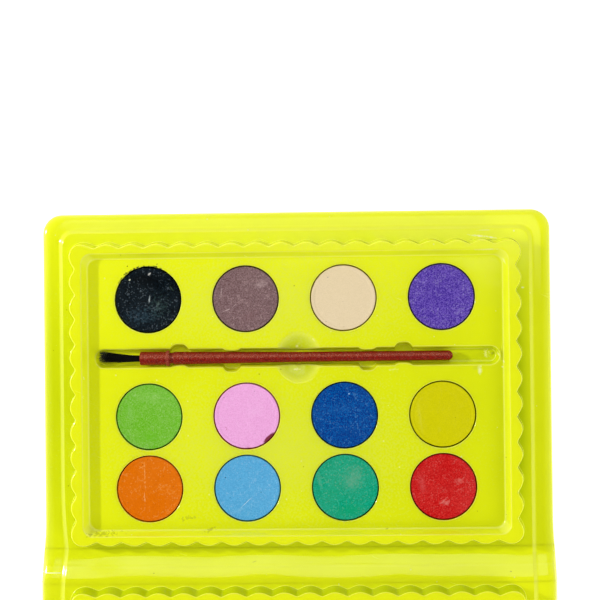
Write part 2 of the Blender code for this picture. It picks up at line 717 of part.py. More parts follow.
def make_pens(group, parent):
    """The pens in their compartment, each a barrel with its cap on."""
    barrel = turned("pen_barrel", pen_barrel_profile(), PEN_SIDES)
    pitch = 2 * PEN_RADIUS + PEN_SPACING
    for i, colour in enumerate(COLOURS):
        across = pen_compartment_x() + (i - (PEN_COUNT - 1) / 2) * pitch
        place = (-across, -TRAY_CENTRE_Y - PEN_LENGTH / 2, SHEET + SEAT_GAP + PEN_RADIUS)
        body = add_turned(group, f"pen_barrel_{colour}", barrel, material("pen_barrel", BARREL_WHITE, 0.35))
        seat(body, place, parent)
        body.rotation_euler = (-math.pi / 2, 0.0, 0.0)
        name = f"pen_cap_{colour}"
        finish = material(f"cap_{colour}", COLOURS[colour], 0.3)
        cap = add_turned(group, name, turned(name, pen_cap_profile(), PEN_SIDES), finish)
        cap.parent = body


def crayon_profile():
    """The crayon, listed down its outer side from its point."""
    shoulder = CRAYON_LENGTH - CRAYON_POINT_LENGTH
    return (
        (0.0, CRAYON_LENGTH),
        (CRAYON_POINT_RADIUS, CRAYON_LENGTH),
        (CRAYON_RADIUS - CRAYON_SHOULDER, shoulder),
        (CRAYON_RADIUS, shoulder),
        (CRAYON_RADIUS, 0.0),
        (0.0, 0.0),
    )


def make_crayons(group, parent):
    """The crayons in their compartment, in rows."""
    pitch = 2 * CRAYON_RADIUS + CRAYON_SPACING
    for i, colour in enumerate(COLOURS):
        row, column = divmod(i, CRAYONS_PER_ROW)
        across = crayon_compartment_x() + (column - (CRAYONS_PER_ROW - 1) / 2) * pitch
        along = crayon_row_places()[row]
        place = (-across, -TRAY_CENTRE_Y - along - CRAYON_LENGTH / 2, SHEET + SEAT_GAP + CRAYON_RADIUS)
        mesh = turned(f"crayon_{colour}", crayon_profile(), CRAYON_SIDES)
        crayon = add_turned(group, f"crayon_{colour}", mesh, material(f"wax_{colour}", COLOURS[colour], 0.55))
        seat(crayon, place, parent)
        crayon.rotation_euler = (-math.pi / 2, 0.0, 0.0)


# Spine


def make_spine(group, parent):
    """The panel between the two folds, with the ledge, step and rim of the halves and upright ends."""
    height = PAINT_LEDGE_HEIGHT - SPINE_TABLE_GAP
    upper = [(LEDGE_HALF_X, 0.0)] + [(LEDGE_HALF_X + out, drop) for out, drop in rim_profile(height, 0.0)]
    lower = [(LEDGE_HALF_X - SHEET, -SHEET)]
    lower += [(LEDGE_HALF_X + out, drop) for out, drop in rim_profile(height, SHEET)]
    section = upper[::-1] + [(-x, z) for x, z in upper] + [(-x, z) for x, z in lower[::-1]] + lower
    slope = SPINE_RISE / SPINE_RUN
    bm = bmesh.new()
    start_y = CREASE_GAP / 2
    face = bm.faces.new([bm.verts.new((x, start_y, z - slope * start_y)) for x, z in section])
    grown = bmesh.ops.extrude_face_region(bm, geom=[face])["geom"]
    reach = SPINE_RUN - CREASE_GAP
    fresh = [v for v in grown if isinstance(v, bmesh.types.BMVert)]
    bmesh.ops.translate(bm, verts=fresh, vec=(0.0, reach, -slope * reach))
    bmesh.ops.recalc_face_normals(bm, faces=bm.faces)
    mesh = bpy.data.meshes.new("spine_panel")
    bm.to_mesh(mesh)
    bm.free()
    spine = add_object(group, "spine_panel", mesh, material("lime_plastic", LIME, 0.28))
    spine.parent = parent


def main():
    """Builds the set: the tool half stands still, and the spine and the paint half hang on the two folds."""
    for obj in list(bpy.data.objects):
        bpy.data.objects.remove(obj, do_unlink=True)
    group = collection("art_set")
    tool_fold = empty(group, "tool_fold", (0.0, -SPINE_RUN / 2, TOOL_LEDGE_HEIGHT))
    paint_fold = empty(group, "paint_fold", (0.0, SPINE_RUN / 2, PAINT_LEDGE_HEIGHT), tool_fold)
    tool_tray = make_tool_tray(group)
    tool_tray.rotation_euler = (0.0, 0.0, math.pi)
    seat(tool_tray, (0.0, -TRAY_CENTRE_Y, 0.0))
    make_pens(group, None)
    make_crayons(group, None)
    make_spine(group, tool_fold)
    paint_tray = make_paint_tray(group)
    seat(paint_tray, (0.0, TRAY_CENTRE_Y, 0.0), paint_fold)
    make_tablets(group, paint_fold)
    make_brush(group, paint_fold)


main()
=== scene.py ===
"""The looks of a children's art set that lies open: the formed lime case, the round paints, the brush, the
fibre pens and the wax crayons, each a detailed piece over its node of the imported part.

Units are metres and +Z is up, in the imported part's own frame. Angles are in radians.
"""

import json
import math
import random

import bmesh
import bpy
from mathutils import Matrix, Vector, noise


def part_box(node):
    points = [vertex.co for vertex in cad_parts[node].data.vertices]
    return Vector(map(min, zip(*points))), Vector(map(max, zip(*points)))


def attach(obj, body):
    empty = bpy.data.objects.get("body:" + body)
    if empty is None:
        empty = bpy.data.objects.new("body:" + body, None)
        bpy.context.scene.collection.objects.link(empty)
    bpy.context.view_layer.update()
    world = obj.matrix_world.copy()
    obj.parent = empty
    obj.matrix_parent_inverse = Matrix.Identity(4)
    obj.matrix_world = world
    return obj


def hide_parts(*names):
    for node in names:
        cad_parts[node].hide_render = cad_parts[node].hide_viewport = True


MM = 0.001
MERGE = 0.0005 * MM

# Formed sheet of the case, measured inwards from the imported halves' outlines
SHEET = 0.75 * MM
RIM_WIDTH = 8.0 * MM
RIM_FOOT = 0.5 * MM
RIM_CORNER = 9.0 * MM
CASE_HALF_X = 117.9 * MM
ROLL_WIDTH = 3.1 * MM
ROLL_SHOULDER = 0.9 * MM
ROLL_SHOULDER_DROP = 0.7 * MM
RIM_FLARE = 1.2 * MM
TOOL_FLARE_RIGHT = 1.5 * MM
TOOL_FLARE_LEFT = 2.1 * MM
TOOL_FLARE_RUN = 16 * MM
STEP_SHIFT = 0.6 * MM
STEP_SHIFT_AT_FOLD = 1.6 * MM
STEP_SHIFT_RUN = 30 * MM
STEP_DROP = 1.1 * MM
STEP_START = -0.9 * MM
STEP_END = 0.85 * MM
RIM_ROUNDINGS = (0.5 * MM, 0.5 * MM, 1.2 * MM, 1.0 * MM)
LEDGE_CORNER = 6.0 * MM
LEDGE_SHORT_SIDE = 4.6 * MM
LEDGE_FAR_SIDE = 5.2 * MM
FOLD_SETBACK = 1.05 * MM
FOLD_Y = 8.06 * MM
CREASE_GAP = 0.4 * MM
FRAME_HEIGHT = 8.0 * MM
FRAME_DRAFT = 1.4 * MM
FRAME_ROUNDINGS = (0.5 * MM, 0.9 * MM)
BORDER_SHORT_SIDE = 5.5 * MM
BORDER_LONG_SIDE = 4.3 * MM
RECESS_DEPTH = 4.3 * MM
RECESS_SLOPE = 2.3 * MM
RECESS_CORNER = 4.6 * MM
RECESS_ROUNDINGS = (0.9 * MM, 1.1 * MM)
FLAT_BAND = 0.3 * MM
STRAIGHT_STEPS = 26
CORNER_STEPS = 10

# Painted shade on the lime, from 0 on the frame's top to 1 and deeper, and a painted highlight along its
# sloped bends, kept at each point
PAINTED_SHADE = "painted_shade_tone"
EDGE_HIGHLIGHT = "painted_edge_highlight"
SHEET_FINISHES = ("lime_sheet", "lime_sheet_back")
# The painted shade: a deep olive down into the wells, deeper on the floor to the right and lighter to the
# far side, set apart in the groove and the dip, on the ledges and rims and most beside the frame on the
# right, on the near back wall, eased by the folds, and none on the far side
WELL_SHADE = (64, 72, 0)
WELL_DEPTH_TONE = 2.0
FLOOR_TONE = 0.34
FLOOR_TONE_RIGHT = 0.12
FLOOR_TONE_FAR = -0.2
GROOVE_TONE = 0.2
GROOVE_TONE_RIGHT = 0.4
GROOVE_REACH = 8 * MM
DIP_TONE = 0.78
GROOVE_LEVEL = 0.02
DIP_LEVEL = 0.97
WELL_LEVEL = 1.04
GROOVE_TONE_RISE = 3
OUTSIDE_TONE = 0.6
OUTSIDE_TONE_RIGHT = 1.03
RIGHT_RIM_TONE = 0.25
FAR_SIDE_TONE = 0.0
FAR_LEDGE_FADE = 0.75
BACK_WALL_TONE = 1.0
BACK_WALL_REACH = 9 * MM
BACK_WALL_FOOT = 0.3 * MM
BACK_WALL_CREST = 0.5 * MM
FOLD_TONE = 0.12
FOLD_TONE_RUN = 40 * MM
PAINT_FOLD_TONE = 0.38
TONE_RUN = 1.6 * MM
# The painted highlight: on points that face up this much, fading over the range
EDGE_HIGHLIGHT_LEVEL = 0.72
EDGE_HIGHLIGHT_RANGE = 0.25

# Marks on the lime, with painted sheen, painted glints and highlights and a line of painted shade among
# them, in millimetres, in the same order as the marks on the paints
LIME_MARKS_AND_PAINTED_LIGHT = (
    # Two broad pale washes over the floor, a painted sheen
    (-12.0, 122.0, 80.0, 24.0, 0, 1.0, 3.0, 0.17, (214, 224, 150)),
    (-10.0, 54.0, 86.0, 38.0, 0, 1.0, 3.0, 0.16, (212, 222, 150)),
    # Painted glints and highlight lines at the far right corner, with a dark line of painted shade below
    # them
    (88.6, 154.6, 4.2, 0.35, 1, 1.0, 1.0, 0.6, (255, 255, 200)),
    (85.7, 152.0, 5.0, 0.5, -6, 0.9, 1.6, 0.85, (255, 255, 225)),
    (91.7, 151.2, 2.6, 0.4, -8, 0.9, 1.6, 0.85, (255, 255, 225)),
    (89.8, 150.1, 9.0, 0.35, -2, 0.9, 1.6, 0.6, (150, 160, 0)),
    (88.6, 145.2, 6.2, 0.35, 1, 0.9, 1.4, 0.7, (255, 255, 190)),
    (102.2, 154.1, 0.6, 0.5, 0, 0.8, 0.5, 0.8, (255, 255, 210)),
    (106.0, 127.7, 0.9, 0.45, 0, 0.8, 0.5, 0.9, (255, 255, 225)),
    (96.8, 139.9, 0.4, 2.2, 20, 1.0, 2.0, 0.6, (255, 255, 200)),
    # A pale blotch by the groove, a painted highlight, and a pale streak
    (85.2, 89.8, 1.3, 2.4, 8, 1.0, 0.8, 0.8, (244, 250, 196)),
    (45.4, 90.4, 2.6, 0.5, 4, 1.0, 2.0, 0.5, (248, 250, 170)),
    # Scratches by the groove's right end
    (89.0, 97.2, 1.4, 2.0, 30, 1.0, 5.0, 0.75, (248, 250, 160)),
    (92.4, 98.0, 0.8, 2.2, 150, 1.0, 4.0, 0.6, (150, 160, 10)),
    (94.0, 97.0, 0.4, 1.6, 20, 0.9, 2.0, 0.6, (248, 250, 170)),
    # Small painted glints by the groove's right end
    (95.6, 91.2, 0.5, 0.5, 0, 0.7, 0.5, 0.7, (252, 252, 190)),
    (96.2, 93.6, 0.35, 0.9, 10, 0.7, 1.0, 0.6, (252, 252, 190)),
    # Painted glints in the finger dip
    (0.9, 101.6, 0.8, 0.8, 0, 0.8, 1.0, 0.8, (250, 252, 180)),
    (0.3, 91.0, 2.2, 0.5, 0, 0.9, 4.0, 0.7, (250, 252, 170)),
    (8.6, 104.6, 0.5, 1.2, 40, 0.8, 1.6, 0.6, (252, 252, 170)),
    # Dark specks and smudges
    (-19.8, 1.8, 1.2, 0.25, 20, 0.6, 1.6, 0.4, (150, 150, 40)),
    (98.6, -3.4, 0.5, 0.35, 0, 0.5, 0.6, 0.6, (140, 138, 40)),
    (41.6, 17.1, 0.9, 0.3, 10, 0.6, 1.2, 0.5, (140, 138, 30)),
    (-90.0, 16.0, 6.5, 0.9, 4, 1.0, 7.0, 0.45, (140, 130, 20)),
    (-40.0, 17.4, 2.2, 0.8, 20, 1.0, 6.0, 0.4, (140, 132, 20)),
    (-50.4, 22.6, 3.4, 1.0, 12, 0.6, 6.5, 0.4, (160, 160, 30)),
    # A faint darker patch by the groove's right end
    (83.4, 90.6, 2.4, 1.5, 0, 1.0, 1.5, 0.3, (190, 196, 60)),
    # Crumbs of black paint beside its well
    (-68.6, 139.1, 4.2, 0.75, 0, 0.6, 3.0, 0.9, (20, 24, 10)),
    (-75.6, 137.3, 4.4, 0.7, 28, 0.6, 3.4, 0.9, (20, 24, 10)),
    (-80.6, 133.2, 2.0, 0.4, 52, 0.6, 4.0, 0.6, (24, 28, 10)),
    (-61.6, 137.8, 3.0, 0.5, 155, 0.6, 4.6, 0.7, (24, 28, 10)),
    (-77.4, 139.6, 0.5, 0.3, 40, 0.5, 1.0, 0.8, (30, 34, 10)),
    (-63.6, 140.4, 0.6, 0.25, 10, 0.5, 1.0, 0.6, (40, 44, 10)),
)

# Scallops of the frame
SCALLOP_PITCH = 11.5 * MM
SCALLOP_DEPTH_SHORT_SIDE = 2.4 * MM
SCALLOP_DEPTH_LONG_SIDE = 1.8 * MM
SCALLOP_STEPS = 12
SCALLOP_SOFTNESS = 0.16
CORNER_LOBE = 11.5 * MM
LOBE_CORNER = 5.2 * MM
LOBE_FLANK_STEPS = 6

# How far the formed sheet wavers from its drawing, and over what length
WAVER = 0.16 * MM
WAVER_LENGTH = 34 * MM
WAVER_SETBACK = 3 * MM

# Wells, brush groove and finger dip
WELL_ROOM = 0.48 * MM
WELL_SIDES = 72
WELL_DRAFT = 0.2 * MM
MOUTH_ROUNDING = 0.7 * MM
POCKET_BOTTOM = SHEET + 0.05 * MM
GROOVE_HALF_WIDTH = 4.3 * MM
GROOVE_DRAFT = 1.2 * MM
GROOVE_DEPTH = 4.5 * MM
GROOVE_WALL_STEPS = 14
GROOVE_END_STEPS = 16
GROOVE_RUN_STEPS = (5, 4, 5, 5)
GROOVE_ROUNDING = 1.2 * MOUTH_ROUNDING
GROOVE_TIP_ROOM = 1.2 * MM
GROOVE_TAIL = 22.0 * MM
TUFT_LENGTH = 19.0 * MM
SNAP_LENGTH = 8.4 * MM
SNAP_OUT = 2.2 * MM
SNAP_IN = 1.1 * MM
SNAP_STEPS = 16
SNAP_PLACE_SHARES = (0.13, 0.298, 0.732, 0.847)
SNAP_SIGNS = (1, -1, -1, 1)
DIP_PLACE_SHARE = 0.512
DIP_HALF_LENGTH = 10.6 * MM
DIP_HALF_WIDTH = 11.9 * MM
DIP_DEPTH = 3.0 * MM
DIP_FLOOR_SHARE = 0.985
DIP_LEAST_ROOM = 0.12 * MM
DIP_LEAST_LENGTH = 1.5 * MM
DIP_STEPS = 22

# Compartments of the other half
COMPARTMENT_ROOM_SIDE = 0.3 * MM
COMPARTMENT_ROOM_END = 1.0 * MM
COMPARTMENT_DRAFT = 0.4 * MM
COMPARTMENT_CORNER = 1.6 * MM
COMPARTMENT_CORNER_STEPS = 6
COMPARTMENT_SIDE_STEPS = 10
BAY_RADIUS = 9.0 * MM
BAY_STEPS = 14

# Brush handle, listed from its front end
BRUSH_SHIFT = Vector((0.6, 0.6)) * MM
GRIP_LENGTH = 12.2 * MM
GRIP_RADIUS = 3.15 * MM
COLLAR_LENGTH = 1.6 * MM
COLLAR_RADIUS = 3.7 * MM
NECK_LENGTH = 1.2 * MM
NECK_RADIUS = 2.6 * MM
SHAFT_FRONT_RADIUS = 3.05 * MM
SHAFT_MIDDLE_RADIUS = 2.4 * MM
SHAFT_END_RADIUS = 2.3 * MM
SOCKET_RADIUS = 1.8 * MM
SOCKET_DEPTH = 1.5 * MM
HANDLE_ROUNDINGS = (0.1, 0.15, 0.9, 0.1, 0.5, 0.5, 0.15, 0.3, 0.6, 8.0)
HANDLE_TAIL_STEPS = 8
HANDLE_SIDES = 40

# A painted sheen along the handle's upper side, kept at each of its points
PAINTED_SHEEN = "bloom_and_sheen"
PAINTED_SHEEN_LEVEL = 0.3
PAINTED_SHEEN_RANGE = 0.5

# Tuft
TUFT_ROOT_RADIUS = 1.4 * MM
TUFT_TIP_RADIUS = 2.6 * MM
TUFT_LIFT = 0.5 * MM
TUFT_LEAN = 1.0 * MM
TUFT_DOME = 0.6 * MM
STRAND_PITCH = 0.13 * MM
STRAY_SHARE = 0.09
STRAY_REACHES = ((0.0, 1.2), (-1.6, 1.4), (-2.0, 0.6))
HAIR_RADIUS = 0.065 * MM
HAIR_TAPER = 0.65
HAIR_FLARE = 0.8
HAIR_STEPS = 6
HAIR_SCATTER = 0.16
HAIR_ENDS = (-1.3, 0.3)
HAIR_BOW = 0.12
HAIR_DROOP = -0.1
HAIR_ROOT = 0.8 * SOCKET_DEPTH

# Spine
SPINE_STEPS = 28
SPINE_ACROSS_STEPS = 60
SPINE_FLATS = (0.15, 0.2)
SPINE_CURVE = 0.4
SPINE_TABLE_GAP = 0.75 * MM
CREASE_DENT = 0.12 * MM
SPINE_WAVER = 0.9 * MM
SPINE_WAVER_LENGTH = 30 * MM
SLIT_SHARE = 0.32
SLIT_HALF_SHARE = 0.012
SLIT_SETBACK = 1.6 * MM

# Tablets
TABLET_RIM = 1.8 * MM
TABLET_DISH = 0.22 * MM
TABLET_SIDES = 96
TABLET_FACE_RINGS = 14
TABLET_ROUNDINGS = (0.3 * MM, 0.25 * MM, 0.2 * MM, 0.2 * MM, 0.2 * MM)
TABLET_SWELLS = ((0.35, 0.08 * MM), (1.3, 0.032 * MM))
TABLET_CHIPS = 5
CHIP_DEPTH = 0.3 * MM
CHIP_SETBACKS = (0.0, 0.6)
CHIP_SIZES = (0.5, 1.4)

# Pens and crayons
PEN_WALL = 0.9 * MM
PEN_SEAT = 0.3 * MM
PEN_PLUG_INSET = 0.4 * MM
PEN_PLUG_LENGTH = 3.0 * MM
PEN_NECK_LENGTH = 9.0 * MM
PEN_NOSE_RADIUS = 1.6 * MM
PEN_NIB_RADIUS = 0.9 * MM
PEN_NIB_LENGTH = 4.0 * MM
PEN_BEAD = 1.6 * MM
PEN_FLUTES = 16
PEN_FLUTES_LENGTH = 14 * MM
PEN_FLUTE_SHARE = 0.05
PEN_BARREL_ROUNDINGS = (0.5, 0.25, 0.25, 0.25, 0.25, 0.25, 0.25, 0.1, 0.5)
CAP_ROUNDINGS = (0.1, 0.2, 0.2, 0.4, 0.2, 0.3, 0.3, 0.9, 0.2)
CAP_HOLE_SHARE = 0.4
CAP_WAIST_INSETS = (0.25 * MM, 0.35 * MM)
CAP_FLUTES_INSET = 0.05 * MM
CAP_END_INSET = 0.3 * MM
CAP_BEAD_SLOPE = 0.4 * MM
CAP_FLUTES_SLOPE = 0.6 * MM
PEN_SIDES = 64
CRAYON_POINT_LENGTH = 8.0 * MM
CRAYON_POINT_RADIUS = 1.5 * MM
CRAYON_SHOULDER = 0.6 * MM
CRAYON_SIDES = 40
CRAYON_BAY_PLACE = 28.5 * MM
SLEEVE_THICKNESS = 0.12 * MM
SLEEVE_SETBACK = 2.5 * MM
BAND_SETBACK = 2.0 * MM
BAND_WIDTH = 1.2 * MM
CRAYON_ROUNDINGS = (0.4, 0.05, 0.08, 0.01, 0.01, 0.01, 0.01, 0.08, 0.05, 0.25, 0.2, 0.5)

# The deep, light and pale tone of each paint, in steps of 1/255
PAINT_TONES = {
    "black": ((0, 2, 4), (14, 26, 34), (116, 130, 140)),
    "brown": ((106, 80, 82), (141, 113, 115), (200, 174, 174)),
    "cream": ((230, 210, 170), (240, 219, 182), (250, 236, 212)),
    "violet": ((62, 36, 148), (114, 88, 192), (188, 172, 226)),
    "green": ((100, 184, 20), (129, 196, 66), (186, 218, 146)),
    "pink": ((236, 160, 216), (250, 182, 234), (250, 212, 240)),
    "blue": ((0, 46, 128), (0, 88, 168), (92, 152, 206)),
    "yellow": ((206, 202, 0), (220, 214, 6), (230, 226, 90)),
    "orange": ((222, 106, 0), (232, 118, 0), (244, 174, 92)),
    "sky_blue": ((76, 162, 214), (96, 181, 227), (172, 212, 238)),
    "emerald": ((0, 152, 108), (18, 174, 138), (132, 180, 152)),
    "red": ((192, 6, 10), (216, 40, 38), (228, 126, 118)),
}

# The stain that each paint leaves round its well, darkened to stand for the painted shade in the narrow gap
# round the tablet
WELL_STAINS_AND_GAP_SHADE = {
    "black": (10, 12, 10),
    "brown": (92, 62, 50),
    "cream": (186, 164, 70),
    "violet": (62, 44, 96),
    "green": (26, 128, 30),
    "pink": (196, 44, 62),
    "blue": (0, 84, 96),
    "yellow": (140, 136, 0),
    "orange": (190, 92, 10),
    "sky_blue": (14, 112, 122),
    "emerald": (0, 104, 56),
    "red": (164, 34, 10),
}

# Powder of each paint: the shares of hazy patches, fine grain and pale specks
PAINT_POWDER = {
    "black": (0.12, 1.0, 0.3),
    "brown": (0.2, 0.8, 0.3),
    "cream": (0.15, 0.3, 0.1),
    "violet": (0.14, 1.2, 0.34),
    "green": (0.3, 0.9, 0.28),
    "pink": (0.2, 0.4, 0.2),
    "blue": (0.2, 1.2, 0.34),
    "yellow": (0.1, 0.3, 0.1),
    "orange": (0.15, 0.4, 0.3),
    "sky_blue": (0.2, 0.6, 0.25),
    "emerald": (0.35, 1.0, 0.3),
    "red": (0.3, 1.1, 0.3),
}

# Marks on the paints, with painted glints on the black and painted shade at the pink's lower right edge, in
# millimetres about the tablet's middle: x, y, half length, half width, turn in degrees, soft edge,
# raggedness, share and tone
PAINT_MARKS_AND_PAINTED_LIGHT = {
    "black": (
        # A painted glint down the black's middle
        (0.6, 0.2, 2.2, 0.45, 84, 0.7, 1.0, 0.8, (176, 188, 190)),
        (4.6, -4.0, 5.4, 5.0, 60, 1.0, 6.0, 0.3, (64, 88, 86)),
        (-6.0, -6.0, 5.0, 3.6, 30, 1.0, 6.0, 0.22, (58, 78, 92)),
        # Two small painted glints near the black's far edge
        (0.7, 12.0, 1.1, 0.5, 40, 0.5, 0.8, 0.95, (232, 232, 226)),
        (-8.5, 9.4, 0.6, 0.4, 30, 0.4, 0.5, 0.9, (220, 226, 196)),
        (4.8, -1.8, 2.6, 1.1, 80, 1.0, 2.2, 0.4, (92, 112, 104)),
        (11.0, 5.2, 1.6, 0.4, 130, 0.9, 2.0, 0.4, (80, 104, 74)),
        (-3.0, -8.0, 8.0, 4.4, 10, 1.0, 3.0, 0.28, (60, 88, 104)),
        (-1.0, 9.5, 9.0, 4.4, 0, 0.8, 0.8, 0.7, (3, 5, 7)),
    ),
    "brown": (
        (-8.8, -5.2, 2.8, 0.35, 24, 0.8, 2.0, 0.6, (206, 182, 182)),
        (-5.6, -3.4, 2.2, 0.22, 48, 0.8, 2.0, 0.5, (206, 182, 182)),
        (7.2, 6.6, 4.0, 2.2, 20, 1.0, 3.0, 0.45, (190, 166, 166)),
        (-11.2, 3.4, 3.2, 0.4, 84, 0.9, 2.4, 0.5, (208, 186, 186)),
        (2.0, -8.0, 6.0, 3.0, 30, 1.0, 1.0, 0.35, (122, 86, 88)),
    ),
    "cream": (
        (-7.0, 9.5, 0.35, 0.3, 0, 0.4, 0.3, 0.7, (150, 140, 128)),
        (-0.2, -1.8, 0.3, 0.22, 0, 0.6, 0.3, 0.5, (190, 160, 140)),
        (0.2, -13.4, 0.4, 0.3, 0, 0.6, 0.3, 0.5, (196, 168, 140)),
    ),
    "violet": (
        (-3.0, 1.0, 8.0, 6.0, 40, 1.0, 2.0, 0.25, (76, 50, 158)),
        (10.2, 1.0, 1.4, 0.3, 70, 0.9, 2.4, 0.5, (216, 208, 236)),
        (7.8, -7.0, 3.4, 0.9, 50, 1.0, 2.6, 0.4, (158, 142, 208)),
    ),
    "green": (
        (0.0, -9.4, 6.5, 4.2, 10, 1.0, 1.4, 0.65, (104, 190, 22)),
        (1.0, 9.0, 9.0, 3.6, 170, 1.0, 2.4, 0.3, (158, 210, 112)),
        (-9.0, 2.0, 2.6, 5.2, 10, 1.0, 2.0, 0.3, (150, 204, 112)),
    ),
    "pink": (
        # Painted shade at the pink's lower right edge
        (10.2, -10.2, 4.0, 1.2, 42, 0.35, 0.5, 0.95, (120, 34, 46)),
        (-9.6, -5.4, 0.9, 0.25, 140, 0.6, 0.8, 0.7, (196, 110, 150)),
        (-9.4, -6.2, 0.7, 0.25, 40, 0.6, 0.8, 0.6, (196, 110, 150)),
        (4.0, 2.0, 5.0, 3.6, 30, 1.0, 2.0, 0.3, (250, 196, 238)),
    ),
    "blue": (
        (2.2, 9.8, 0.5, 0.4, 0, 0.5, 0.4, 0.8, (150, 196, 232)),
        (2.0, -8.6, 8.0, 4.0, 0, 1.0, 1.6, 0.55, (2, 62, 140)),
        (-2.0, 2.8, 8.0, 4.0, 10, 1.0, 2.6, 0.3, (40, 112, 184)),
    ),
    "yellow": ((-10.6, -1.0, 1.0, 9.0, 8, 1.0, 0.8, 0.4, (226, 222, 70)),),
    "orange": (
        (-2.4, 6.6, 0.3, 6.8, 3, 1.0, 7.5, 0.4, (248, 180, 100)),
        (-2.6, -4.0, 0.4, 2.0, 0, 1.0, 5.5, 0.5, (250, 190, 120)),
        (8.0, -0.6, 3.6, 1.6, 160, 1.0, 7.0, 0.25, (244, 160, 70)),
        (-4.0, 10.0, 2.6, 0.3, 30, 0.9, 2.4, 0.5, (244, 170, 84)),
    ),
    "sky_blue": (
        (-0.7, -6.7, 4.4, 0.18, 43, 0.7, 0.7, 0.8, (214, 234, 246)),
        (-10.2, 5.0, 0.42, 0.35, 0, 0.4, 0.3, 0.85, (40, 70, 110)),
        (-3.0, -9.6, 7.0, 1.2, 20, 1.0, 3.0, 0.3, (136, 198, 232)),
        (8.2, 10.6, 0.7, 0.3, 60, 0.6, 0.6, 0.5, (190, 150, 210)),
    ),
    "emerald": (
        (4.0, 4.6, 8.0, 5.4, 60, 1.0, 2.2, 0.5, (112, 172, 140)),
        (2.0, -10.4, 9.0, 3.4, 5, 1.0, 1.2, 0.75, (10, 164, 112)),
        (-12.0, 3.6, 1.2, 6.0, 12, 1.0, 1.4, 0.5, (96, 180, 146)),
        (-5.6, -2.6, 4.0, 4.0, 0, 1.0, 1.4, 0.4, (14, 162, 112)),
    ),
    "red": (
        (7.4, 2.6, 3.0, 1.6, 30, 1.0, 2.8, 0.6, (226, 120, 112)),
        (0.4, -7.2, 2.4, 2.0, 0, 1.0, 3.0, 0.65, (232, 140, 132)),
        (-10.0, 1.0, 2.6, 6.6, 10, 1.0, 2.0, 0.4, (218, 92, 90)),
        (-1.0, 7.0, 5.0, 3.4, 0, 1.0, 2.0, 0.45, (196, 20, 24)),
        (2.0, 0.0, 4.4, 2.2, 20, 1.0, 2.6, 0.35, (186, 16, 22)),
    ),
}

# The tone of each pen and crayon
PEN_TONES = {
    "black": (26, 28, 32),
    "brown": (116, 72, 50),
    "cream": (246, 210, 164),
    "violet": (92, 52, 160),
    "green": (92, 180, 48),
    "pink": (240, 116, 176),
    "blue": (20, 70, 160),
    "yellow": (246, 214, 30),
    "orange": (240, 116, 24),
    "sky_blue": (74, 164, 220),
    "emerald": (20, 140, 96),
    "red": (206, 28, 38),
}

COLOURS = tuple(PAINT_TONES)


def linear(srgb):
    """Linear RGBA of an sRGB colour given in steps of 1/255."""
    shares = [step / 255 for step in srgb]
    return (*[s / 12.92 if s <= 0.04045 else ((s + 0.055) / 1.055) ** 2.4 for s in shares], 1.0)


# Camera, lights and floor

CAMERA_PLACE = Vector((14.7, 118.3, 570.4)) * MM
CAMERA_TURN = (0.465, 1.233, -0.646)
CAMERA_LENS = 73.06
FLOOR_SIZE = 6.0
KEY_POWER = 9.4
KEY_SIZE = 0.05
KEY_PLACE = (-1.113, 0.378, 0.575)
PANEL = ((0.9, 0.62), 2.55, (0.05, 0.51, 1.15))
FILL = ((0.5, 0.3), 5.2, (0.91, -0.56, 0.45))
LIGHT_TARGET = Vector((0.0, 0.08, 0.0))
SURROUND_STRENGTH = 0.61
OVERHEAD_STRENGTH = 0.06


def place_camera():
    """The camera over the paint half, which fills the square picture."""
    data = bpy.data.cameras.new("camera")
    data.sensor_fit = "HORIZONTAL"
    data.sensor_width = 36.0
    data.lens = CAMERA_LENS
    data.clip_start = 0.01
    data.clip_end = 20.0
    camera = bpy.data.objects.new("camera", data)
    camera.location = CAMERA_PLACE
    camera.rotation_euler = [math.radians(turn) for turn in CAMERA_TURN]
    bpy.context.scene.collection.objects.link(camera)
    bpy.context.scene.camera = camera


def aim(obj, place):
    """Puts a light at a place and turns it to the case."""
    obj.location = place
    obj.rotation_mode = "QUATERNION"
    obj.rotation_quaternion = (LIGHT_TARGET - Vector(place)).to_track_quat("-Z", "Y")
    bpy.context.scene.collection.objects.link(obj)


def light_scene():
    """A low key from the left, a panel overhead, a weak fill from the right and an even surround."""
    key = bpy.data.lights.new("key", "AREA")
    key.shape = "DISK"
    key.size = KEY_SIZE
    key.energy = KEY_POWER
    key.color = (1.0, 0.99, 0.97)
    aim(bpy.data.objects.new("key", key), KEY_PLACE)
    for name, size, power, place in (("panel", *PANEL), ("fill", *FILL)):
        panel = bpy.data.lights.new(name, "AREA")
        panel.shape = "RECTANGLE"
        panel.size, panel.size_y = size
        panel.energy = power
        lamp = bpy.data.objects.new(name, panel)
        lamp.visible_camera = False
        lamp.visible_glossy = name == "panel"
        aim(lamp, place)
    world = bpy.data.worlds.new("surround")
    world.use_nodes = True
    nodes = Nodes(world.node_tree)
    direction = nodes.put("ShaderNodeTexCoord").outputs["Generated"]
    height = nodes.put("ShaderNodeSeparateXYZ", {0: direction}).outputs["Z"]
    fade = nodes.carried(height, 0.7, 0.95, SURROUND_STRENGTH, OVERHEAD_STRENGTH)
    background = nodes.tree.nodes["Background"]
    nodes.tree.links.new(fade, background.inputs["Strength"])
    background.inputs["Color"].default_value = (1.0, 1.0, 1.0, 1.0)
    bpy.context.scene.world = world
    bpy.context.scene.view_settings.view_transform = "Standard"


def lay_floor():
    """A plain white floor that glows a little, as a light table does."""
    bm = bmesh.new()
    bmesh.ops.create_grid(bm, x_segments=1, y_segments=1, size=FLOOR_SIZE / 2)
    bmesh.ops.translate(bm, verts=bm.verts, vec=(0.0, 0.0, -0.05 * MM))
    floor = add_piece(bm, "floor", [floor_finish()], smooth=False)


